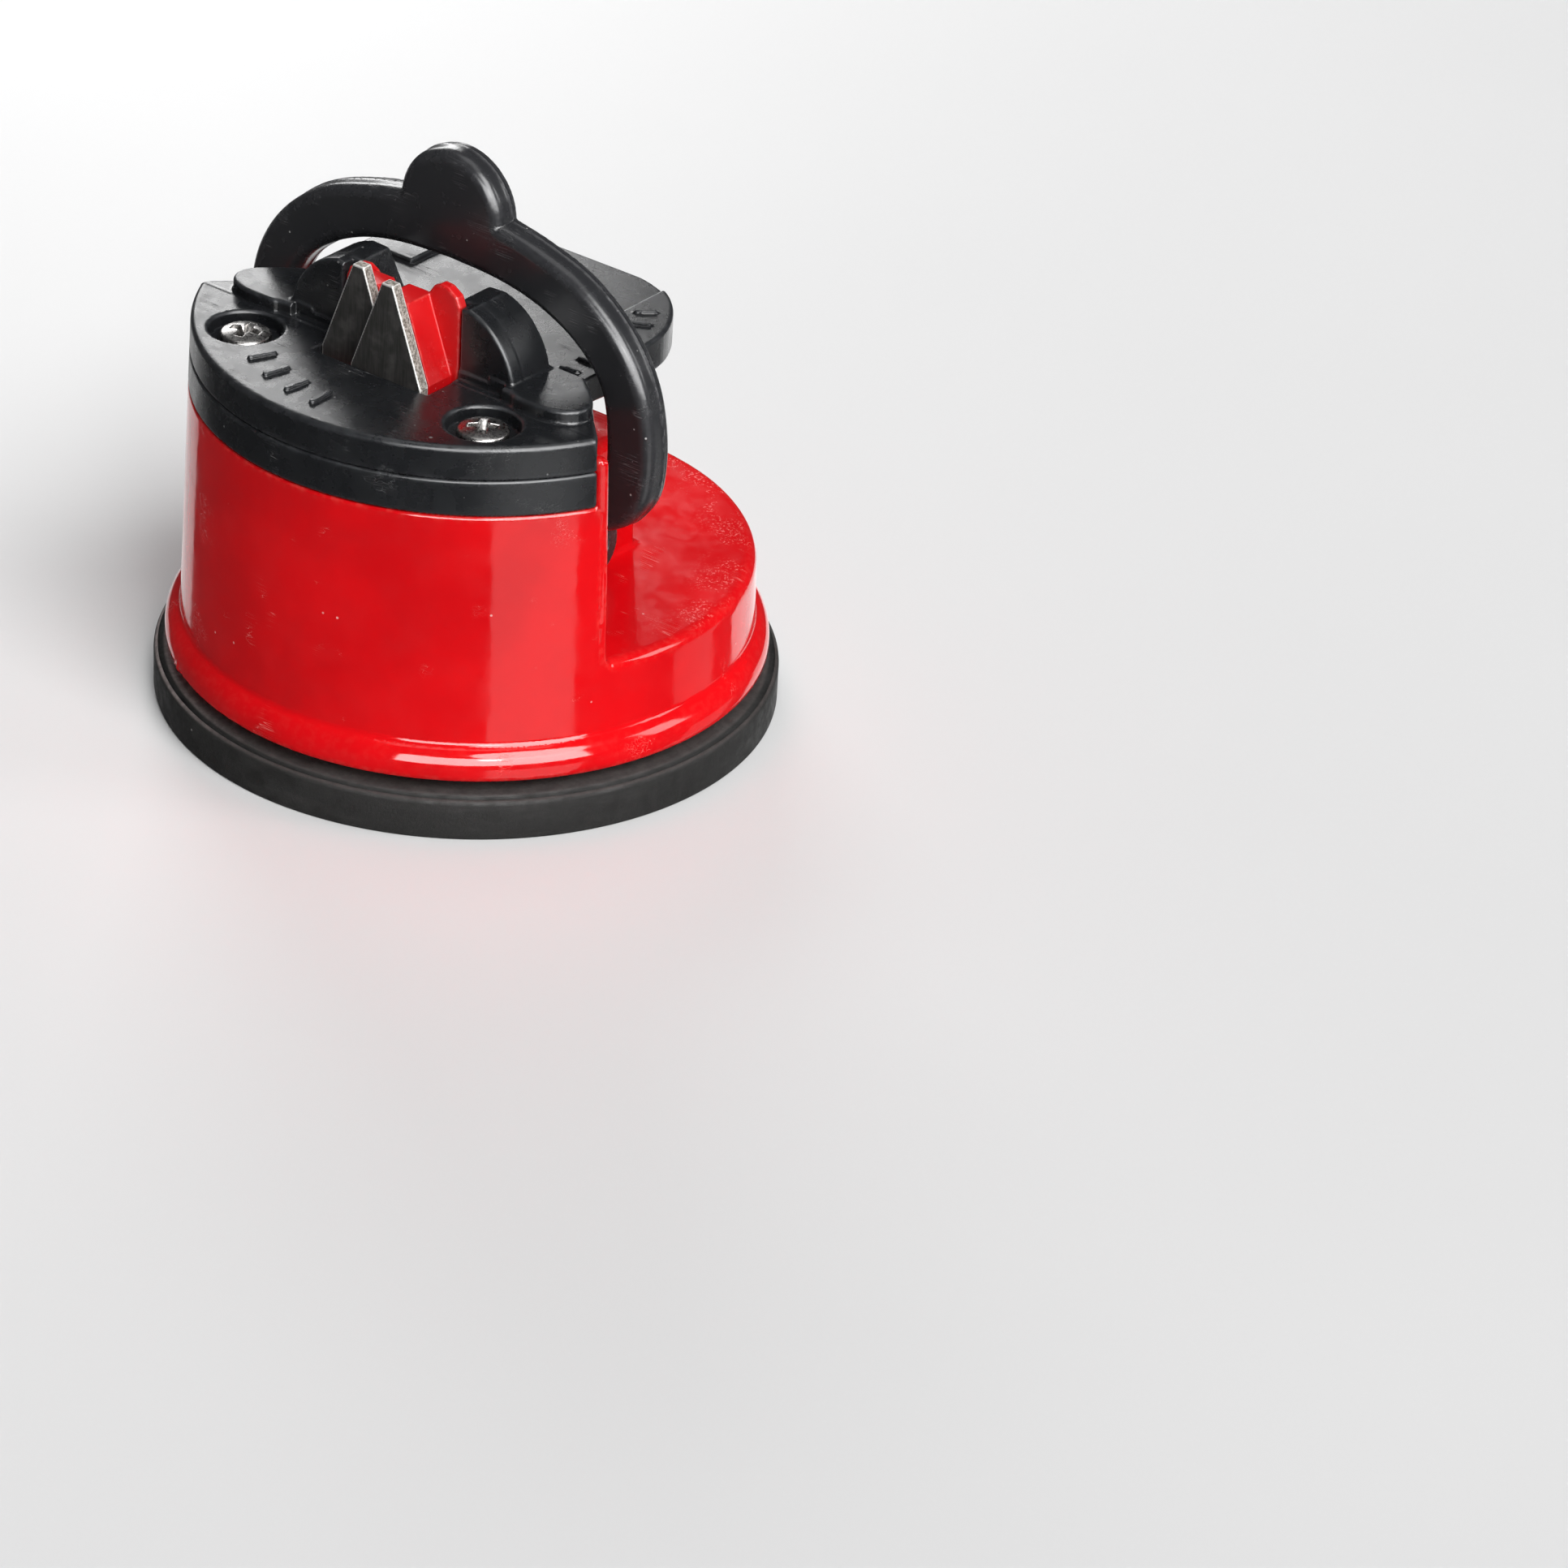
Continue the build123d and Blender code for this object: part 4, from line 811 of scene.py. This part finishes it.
def specks(tree, size, density):
    """Scattered round dust specks."""
    made = node(
        tree, "ShaderNodeTexVoronoi",
        {"Vector": place(tree, (1 / size,) * 3), "Scale": 1.0, "Randomness": 1.0},
    )
    dot = ramp(tree, made.outputs["Distance"], 0.05, 0.10, 1.0, 0.0)
    chosen = node(tree, "ShaderNodeSeparateColor", {"Color": made.outputs["Color"]}).outputs[0]
    return times(tree, dot, ramp(tree, chosen, 1 - density, 1 - density + 0.01))


def bump(tree, shader, height, depth_mm, normal=None):
    """Adds relief of a depth in millimetres to the shader, on top of another relief."""
    made = node(tree, "ShaderNodeBump", {"Height": height, "Strength": 1.0, "Distance": depth_mm * MM})
    if normal is not None:
        tree.links.new(normal, made.inputs["Normal"])
    tree.links.new(made.outputs["Normal"], shader.inputs["Normal"])
    return made.outputs["Normal"]


def add(tree, *values):
    total = values[0]
    for value in values[1:]:
        total = math_node(tree, "ADD", total, value)
    return total


PLASTIC_IOR = 1.5
PALE_EDGE, PALE_SCRATCH, PINK_DUST = (0.9, 0.25, 0.2), (0.95, 0.45, 0.4), (0.9, 0.62, 0.58)
# The next colour is painted sheen on the shelf's rear.
SHELF_SHEEN_RED = (0.85, 0.22, 0.19)
GREY_SCRATCH, PALE_DUST, RUBBER_DUST = (0.22, 0.22, 0.22), (0.75, 0.74, 0.72), (0.5, 0.49, 0.47)
# The second rubber colour is dusty bloom and painted light on what faces up.
RUBBER_BLACK, RUBBER_BLOOM_AND_LIGHT, RUBBER_SMEAR = (0.012, 0.0115, 0.011), (0.30, 0.26, 0.25), (0.075, 0.072, 0.07)
CARBIDE_DARK, CARBIDE_PALE = (0.050, 0.048, 0.046), (0.090, 0.087, 0.083)
CARBIDE_CLOUD = (0.20, 0.195, 0.185)
# The last colour here is edge wear together with painted highlight on the blades.
GROUND_DARK, GROUND_PALE, EDGE_WEAR_AND_HIGHLIGHT = (0.10, 0.085, 0.07), (0.46, 0.43, 0.39), (0.72, 0.71, 0.69)


def red_plastic(name, colour, shade, roughness):
    """Glossy moulded plastic: slow colour drift, faint orange peel, hair scratches and dust."""
    material, tree, shader = new_material(name)
    drift = ramp(tree, noise(tree, 0.07, 3.0), 0.35, 0.65)
    lines = largest(tree, scratches(tree, (0.3, 0.9, 0.4), 0.02), scratches(tree, (1.2, 0.2, 2.1), 0.0))
    dust = specks(tree, 1.6, 0.10)
    edge = times(tree, attribute(tree, "edge"), ramp(tree, noise(tree, 1.3), 0.4, 0.7))
    now = mix(tree, drift, shade, colour)
    now = mix(tree, times(tree, edge, 0.18), now, PALE_EDGE)
    now = mix(tree, times(tree, lines, 0.35), now, PALE_SCRATCH)
    now = mix(tree, times(tree, dust, 0.6), now, PINK_DUST)
    rough = ramp(tree, noise(tree, 0.35, 4.0), 0.3, 0.75, roughness, roughness + 0.09)
    coat(tree, shader, now, add(tree, rough, times(tree, lines, 0.3), times(tree, dust, 0.5)))
    shader.inputs["IOR"].default_value = PLASTIC_IOR
    peel = bump(tree, shader, noise(tree, 0.45, 1.0), 0.02)
    bump(tree, shader, lines, -0.006, peel)
    return material


def red_with_painted_shelf_sheen(name):
    """The housing's red, with a speckled pale patch on the shelf's rear that is painted sheen."""
    material = red_plastic(name, (0.70, 0.0030, 0.0060), (0.60, 0.0020, 0.0048), 0.06)
    tree = material.node_tree
    shader = tree.nodes["Principled BSDF"]
    # A pale pink speckled patch on the shelf's rear is painted sheen, a painted reflection.
    position = position_parts(tree)
    level = distance_to(tree, position[2], SHELF * MM)
    on_shelf = ramp(tree, level, 0.0, 0.5 * MM, 1.0, 0.0)
    on_shelf = times(tree, on_shelf, ramp(tree, normal_parts(tree)[2], 0.6, 0.9))
    behind = ramp(tree, position[1], -6 * MM, 2 * MM)
    squares = [math_node(tree, "POWER", part, 2.0) for part in position[:2]]
    radius = math_node(tree, "SQRT", add(tree, *squares))
    outward = ramp(tree, radius, 21 * MM, 28.5 * MM)
    grain = ramp(tree, noise(tree, 3.2, 4.0, 0.75), 0.52, 0.66)
    patch = ramp(tree, noise(tree, 0.25, 2.0), 0.42, 0.6)
    paler = times(tree, times(tree, grain, patch), on_shelf)
    paler = times(tree, paler, times(tree, behind, outward))
    old = shader.inputs["Base Color"].links[0].from_socket
    now = mix(tree, times(tree, paler, 0.75), old, SHELF_SHEEN_RED)
    rough = shader.inputs["Roughness"].links[0].from_socket
    haze = ramp(tree, noise(tree, 0.8, 4.0), 0.3, 0.7, 0.03, 0.09)
    coat(tree, shader, now, add(tree, rough, times(tree, on_shelf, haze), times(tree, paler, 0.35)))
    return material


def black_plastic(name, colour, paler, low_rough, high_rough, spark, dusty):
    """Moulded black plastic: spark texture, rubbed edges, fine scratches and dust."""
    material, tree, shader = new_material(name)
    handled = ramp(tree, noise(tree, 0.16, 4.0, 0.6), 0.42, 0.66)
    edge = attribute(tree, "edge")
    edge = times(tree, edge, ramp(tree, noise(tree, 1.1, 4.0), 0.38, 0.62, 0.25, 1.0))
    lines = scratches(tree, (0.1, 0.3, 0.7), 0.08, 1.4)
    lines = largest(tree, lines, scratches(tree, (0.2, 0.1, 2.4), 0.05, 1.2))
    dust = largest(tree, specks(tree, 1.3, 0.12), specks(tree, 2.6, 0.10))
    now = mix(tree, times(tree, handled, 0.22), colour, paler)
    now = mix(tree, times(tree, edge, 0.5), now, tuple(c * 2.4 for c in paler))
    now = mix(tree, times(tree, lines, 0.4), now, GREY_SCRATCH)
    now = mix(tree, times(tree, dust, dusty), now, PALE_DUST)
    rough = ramp(tree, noise(tree, 0.4, 3.0, 0.55), 0.3, 0.7, low_rough, high_rough)
    coat(tree, shader, now, add(tree, rough, times(tree, edge, 0.12), times(tree, dust, 0.4)))
    shader.inputs["IOR"].default_value = PLASTIC_IOR
    fine = bump(tree, shader, noise(tree, 4.5, 4.0, 0.7), spark)
    bump(tree, shader, lines, -0.01, fine)
    return material


def rubber(name):
    """Black moulded rubber: dull black side; what faces up is paler, a grey-brown dusty bloom together with
    painted light that grows towards the left.
    """
    material, tree, shader = new_material(name)
    # What faces up, more so towards the left, is painted paler: dusty bloom and painted light together.
    up = ramp(tree, normal_parts(tree)[2], 0.45, 0.85)
    cloud = ramp(tree, noise(tree, 0.9, 5.0, 0.7), 0.3, 0.72)
    painted_lit_side = ramp(tree, position_parts(tree)[0], -26 * MM, 0.0, 1.0, 0.12)
    bloom_and_painted_light = times(tree, up, ramp(tree, cloud, 0.0, 1.0, 0.55, 1.0))
    bloom_and_painted_light = times(tree, bloom_and_painted_light, painted_lit_side)
    now = mix(tree, bloom_and_painted_light, RUBBER_BLACK, RUBBER_BLOOM_AND_LIGHT)
    smear = times(tree, ramp(tree, noise(tree, (0.12, 0.12, 0.7), 4.0), 0.5, 0.8), 0.22)
    now = mix(tree, smear, now, RUBBER_SMEAR)
    dust = largest(tree, specks(tree, 1.7, 0.10), specks(tree, 3.1, 0.10))
    now = mix(tree, times(tree, dust, 0.45), now, RUBBER_DUST)
    coat(tree, shader, now, ramp(tree, noise(tree, 0.6, 4.0), 0.3, 0.7, 0.55, 0.8))
    shader.inputs["IOR"].default_value = PLASTIC_IOR
    shader.inputs["Specular IOR Level"].default_value = 0.3
    bump(tree, shader, noise(tree, 3.0, 5.0, 0.7), 0.05)
    return material


def carbide(name):
    """Sintered hard metal: dark lapped faces, coarse ground sides, and bright edges that are worn and also
    painted highlight.
    """
    material, tree, shader = new_material(name)
    facing = math_node(tree, "ABSOLUTE", normal_parts(tree)[1])
    ground = ramp(tree, facing, 0.5, 0.8, 1.0, 0.0)
    grain = noise(tree, 4.0, 5.0, 0.75)
    drag = noise(tree, (5.0, 5.0, 0.35), 3.0, 0.6)
    face = mix(tree, ramp(tree, drag, 0.3, 0.75), CARBIDE_DARK, CARBIDE_PALE)
    face = mix(tree, ramp(tree, noise(tree, 0.5, 3.0), 0.45, 0.7, 0.0, 0.3), face, CARBIDE_CLOUD)
    side = mix(tree, ramp(tree, grain, 0.38, 0.62), GROUND_DARK, GROUND_PALE)
    now = mix(tree, ground, face, side)
    # Bright edges: edge wear together with painted highlight.
    edge = times(tree, attribute(tree, "edge"), add(tree, grain, 0.35))
    edge = ramp(tree, edge, 0.35, 0.75)
    now = mix(tree, times(tree, edge, 0.85), now, EDGE_WEAR_AND_HIGHLIGHT)
    shader.inputs["Metallic"].default_value = 0.55
    coat(tree, shader, now, mix(tree, ground, ramp(tree, drag, 0.3, 0.7, 0.30, 0.48), 0.7, "FLOAT"))
    height = add(tree, times(tree, drag, 0.25), times(tree, times(tree, grain, ground), 1.6))
    bump(tree, shader, height, 0.05)
    return material


def metal(name, colour, dark, low_rough, high_rough):
    """Plated or turned metal with painted shade in its hollows and driver marks on its edges."""
    material, tree, shader = new_material(name)
    cloud = ramp(tree, noise(tree, 2.2, 4.0, 0.7), 0.35, 0.7)
    now = mix(tree, times(tree, cloud, 0.5), colour, dark)
    # Hollows are painted darker: painted shade.
    painted_shade = ramp(tree, attribute(tree, "hollow"), 0.15, 0.7)
    now = mix(tree, times(tree, painted_shade, 0.8), now, tuple(c * 0.12 for c in colour))
    shader.inputs["Metallic"].default_value = 1.0
    coat(tree, shader, now, ramp(tree, noise(tree, 2.5, 3.0, 0.6), 0.3, 0.7, low_rough, high_rough))
    bump(tree, shader, noise(tree, 4.0, 3.0, 0.6), 0.004)
    return material


def natural_plastic(name, colour):
    """Undyed moulded plastic with a slow colour drift."""
    material, tree, shader = new_material(name)
    drift = ramp(tree, noise(tree, 0.4, 4.0), 0.3, 0.7)
    now = mix(tree, drift, colour, tuple(part * 0.86 for part in colour))
    coat(tree, shader, now, ramp(tree, noise(tree, 1.2, 4.0), 0.3, 0.7, 0.32, 0.45))
    bump(tree, shader, noise(tree, 2.5, 3.0), 0.015)
    return material


HEAD_BLACK, HEAD_RUBBED = (0.0085, 0.0092, 0.0105), (0.022, 0.023, 0.025)
LEVER_BLACK, LEVER_RUBBED = (0.0225, 0.0230, 0.0252), (0.033, 0.033, 0.035)
MATERIALS = {
    "rubber_black": rubber("rubber_black"),
    "red_plastic": red_with_painted_shelf_sheen("red_plastic"),
    "red_insert": red_plastic("red_insert", (0.60, 0.007, 0.009), (0.52, 0.005, 0.007), 0.20),
    "black_head": black_plastic("black_head", HEAD_BLACK, HEAD_RUBBED, 0.23, 0.32, 0.010, 0.25),
    "black_lever": black_plastic("black_lever", LEVER_BLACK, LEVER_RUBBED, 0.20, 0.28, 0.005, 0.6),
    "carbide": carbide("carbide"),
    "screw_steel": metal("screw_steel", (0.36, 0.35, 0.34), (0.16, 0.15, 0.145), 0.22, 0.36),
    "zinc_steel": metal("zinc_steel", (0.60, 0.61, 0.63), (0.42, 0.42, 0.42), 0.25, 0.42),
    "acetal_white": natural_plastic("acetal_white", (0.78, 0.77, 0.73)),
    "bush_bronze": metal("bush_bronze", (0.62, 0.44, 0.20), (0.35, 0.23, 0.10), 0.3, 0.5),
}


def paint(piece, slot):
    """Gives a piece its slot's material alone."""
    piece.data.materials.clear()
    piece.data.materials.append(MATERIALS[slot])


# ------------------------------------------------------------------------- pieces
SOLIDS = [
    ("housing_shell", housing_field, "housing", 0.42),
    ("lever_arch", lever_field, "lever", 0.27),
    ("carrier_ring", carrier_field, "carrier", 0.30),
    ("head_plate", plate_field, "top_plate", 0.27),
    ("insert_body", insert_field, "v_insert", 0.16),
    ("blade_plate_left", blade_field(-1), "blade_left", 0.12),
    ("blade_plate_right", blade_field(1), "blade_right", 0.12),
    ("screw_left", screw_field(-1, 0.25), "head_screw_left", 0.11),
    ("screw_right", screw_field(1, 0.6), "head_screw_right", 0.11),
]

for name, field, cad_node, step in SOLIDS:
    paint(solid(name, field, cad_node, step), SLOT_OF[cad_node])

disc = lathe("suction_rubber", disc_profile())
paint(disc, SLOT_OF["suction_disc"])
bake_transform(disc)
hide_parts("suction_disc")

REPLACED = {cad_node for _, _, cad_node, _ in SOLIDS} | {"suction_disc"}
for cad_node, piece in frame["nodes"].items():
    if cad_node not in REPLACED:
        paint(piece, SLOT_OF[cad_node])


# ------------------------------------------------------------- camera, floor, light
# The view: direction, then roll, yaw and pitch that put the object off the picture's middle.
VIEW_AZIMUTH, VIEW_ELEVATION = 38.96, 27.51
VIEW_TURNS = (-1.67, -3.137, 3.191)
VIEW_DISTANCE, VIEW_HEIGHT = 0.5561, 0.0238
# The camera's sensor and lens, in millimetres.
SENSOR_WIDTH, LENS = 36.0, 130.4348
FLOOR_HALF = 3.0
FLOOR_DARK, FLOOR_PALE = (0.66, 0.66, 0.66), (0.69, 0.69, 0.69)
# The lit cards, in metres: the sectors' near and far edge and depth, and the bands' distance.
CARD_PARTS = 12
SECTOR_REACH, SECTOR_DROP, BAND_DISTANCE = (0.25, 1.4), 0.30, 1.2
AIM_HEIGHT = 0.03


def from_view(azimuth, elevation, distance):
    """A place at an angle to the right of the camera and above the table, in degrees."""
    turn, rise = math.radians(azimuth - 90 + VIEW_AZIMUTH), math.radians(elevation)
    flat = distance * math.cos(rise)
    return (flat * math.cos(turn), flat * math.sin(turn), distance * math.sin(rise) + AIM_HEIGHT)


def aim_camera():
    """Three-quarter view from the front right, above the head."""
    azimuth, elevation = math.radians(VIEW_AZIMUTH), math.radians(VIEW_ELEVATION)
    roll, yaw, pitch = (math.radians(angle) for angle in VIEW_TURNS)
    flat = math.cos(elevation)
    back = Vector((math.sin(azimuth) * flat, -math.cos(azimuth) * flat, math.sin(elevation)))
    right = Vector((math.cos(azimuth), math.sin(azimuth), 0))
    turned = Matrix((right, back.cross(right), back))
    turned = Matrix.Rotation(pitch, 3, "X") @ Matrix.Rotation(roll, 3, "Z") @ turned
    turned = Matrix.Rotation(yaw, 3, "Y").inverted() @ turned
    data = bpy.data.cameras.new("camera")
    data.sensor_width = SENSOR_WIDTH
    data.lens = LENS
    data.clip_start, data.clip_end = 0.01, 20.0
    camera = add_object("camera", data)
    camera.matrix_world = turned.transposed().to_4x4()
    camera.location = Vector((0, 0, VIEW_HEIGHT)) + back * VIEW_DISTANCE
    bpy.context.scene.camera = camera


def add_light(name, place_at, look_at, size, power):
    """A soft rectangular light, aimed at a point."""
    data = bpy.data.lights.new(name, "AREA")
    data.shape = "RECTANGLE"
    data.size, data.size_y = size
    data.energy = power
    lamp = add_object(name, data)
    lamp.location = place_at
    lamp.rotation_euler = (Vector(look_at) - Vector(place_at)).to_track_quat("-Z", "Y").to_euler()


def add_floor():
    """A pale table top. Glossy surfaces don't reflect it: the cards below stand for it."""
    half = FLOOR_HALF
    corners = [(-half, -half, 0), (half, -half, 0), (half, half, 0), (-half, half, 0)]
    floor = bpy.data.meshes.new("floor")
    floor.from_pydata(corners, [], [(0, 1, 2, 3)])
    piece = add_object("floor", floor)
    material, tree, shader = new_material("pale_floor")
    tint = mix(tree, noise(tree, 0.01, 2.0), FLOOR_DARK, FLOOR_PALE)
    tree.links.new(tint, shader.inputs["Base Color"])
    shader.inputs["Roughness"].default_value = 0.6
    piece.data.materials.append(material)
    piece.visible_glossy = False


def add_reflection(name, points, glow):
    """A lit strip between pairs of points. Only glossy reflections see it, and it lights nothing."""
    mesh = bpy.data.meshes.new(name)
    faces = [(n, n + 1, n + 3, n + 2) for n in range(0, len(points) - 2, 2)]
    mesh.from_pydata(points, [], faces)
    piece = add_object(name, mesh)
    material = bpy.data.materials.new(name)
    material.use_nodes = True
    tree = material.node_tree
    tree.nodes.clear()
    light = node(tree, "ShaderNodeEmission", {"Color": (1, 1, 1, 1), "Strength": glow})
    out = node(tree, "ShaderNodeOutputMaterial")
    tree.links.new(light.outputs[0], out.inputs["Surface"])
    material.cycles.emission_sampling = "NONE"
    piece.data.materials.append(material)
    piece.visible_camera = False
    piece.visible_diffuse = False
    piece.visible_transmission = False
    piece.visible_shadow = False


def add_sector(name, start, end, glow):
    """A lit sector under the floor, reflected in upright glossy walls. Angles are from the view."""
    points = []
    for azimuth in spread(start, end, CARD_PARTS):
        angle = math.radians(azimuth - 90 + VIEW_AZIMUTH)
        points += [(reach * math.cos(angle), reach * math.sin(angle), -SECTOR_DROP) for reach in SECTOR_REACH]
    add_reflection(name, points, glow)


def add_band(name, start, end, low, high, glow):
    """A lit part of a dome above the table, reflected in slanted glossy surfaces."""
    points = []
    for azimuth in spread(start, end, CARD_PARTS):
        points += [from_view(azimuth, elevation, BAND_DISTANCE) for elevation in (low, high)]
    add_reflection(name, points, glow)


aim_camera()
add_floor()
key = bpy.data.lights.new("key", "SUN")
key.energy = 3.0
key.angle = math.radians(35)
key_lamp = add_object("key", key)
key_lamp.rotation_euler = (-Vector(from_view(30, 48, 1.0))).to_track_quat("-Z", "Y").to_euler()
add_light("overhead", (-0.05, 0.05, 0.8), (0, 0, 0.02), (0.5, 0.5), 1.0)
add_light("back_left", from_view(191, 21, 0.38), (0, 0, 0.04), (0.163, 0.11), 0.44)
add_light("right_box", from_view(80, 27, 0.7), (0, 0, 0.03), (0.20, 0.30), 1.0)
add_light("front_box", from_view(10, 31, 0.95), (0, 0, 0.04), (0.12, 0.10), 0.9)
add_sector("card_right", 8.4, 42, 1.15)
add_sector("card_side", 88, 112, 0.45)
add_band("card_skirt", -24, 46, 7, 38, 12.0)
add_sector("card_rim_right", 128, 178, 1.2)
add_sector("card_rim_left", -178, -142, 0.8)

world = bpy.data.worlds.new("studio")
world.use_nodes = True
world.node_tree.nodes["Background"].inputs["Color"].default_value = (0.95, 0.96, 1.0, 1)
world.node_tree.nodes["Background"].inputs["Strength"].default_value = 0.06
bpy.context.scene.world = world
bpy.context.scene.view_settings.view_transform = "Standard"
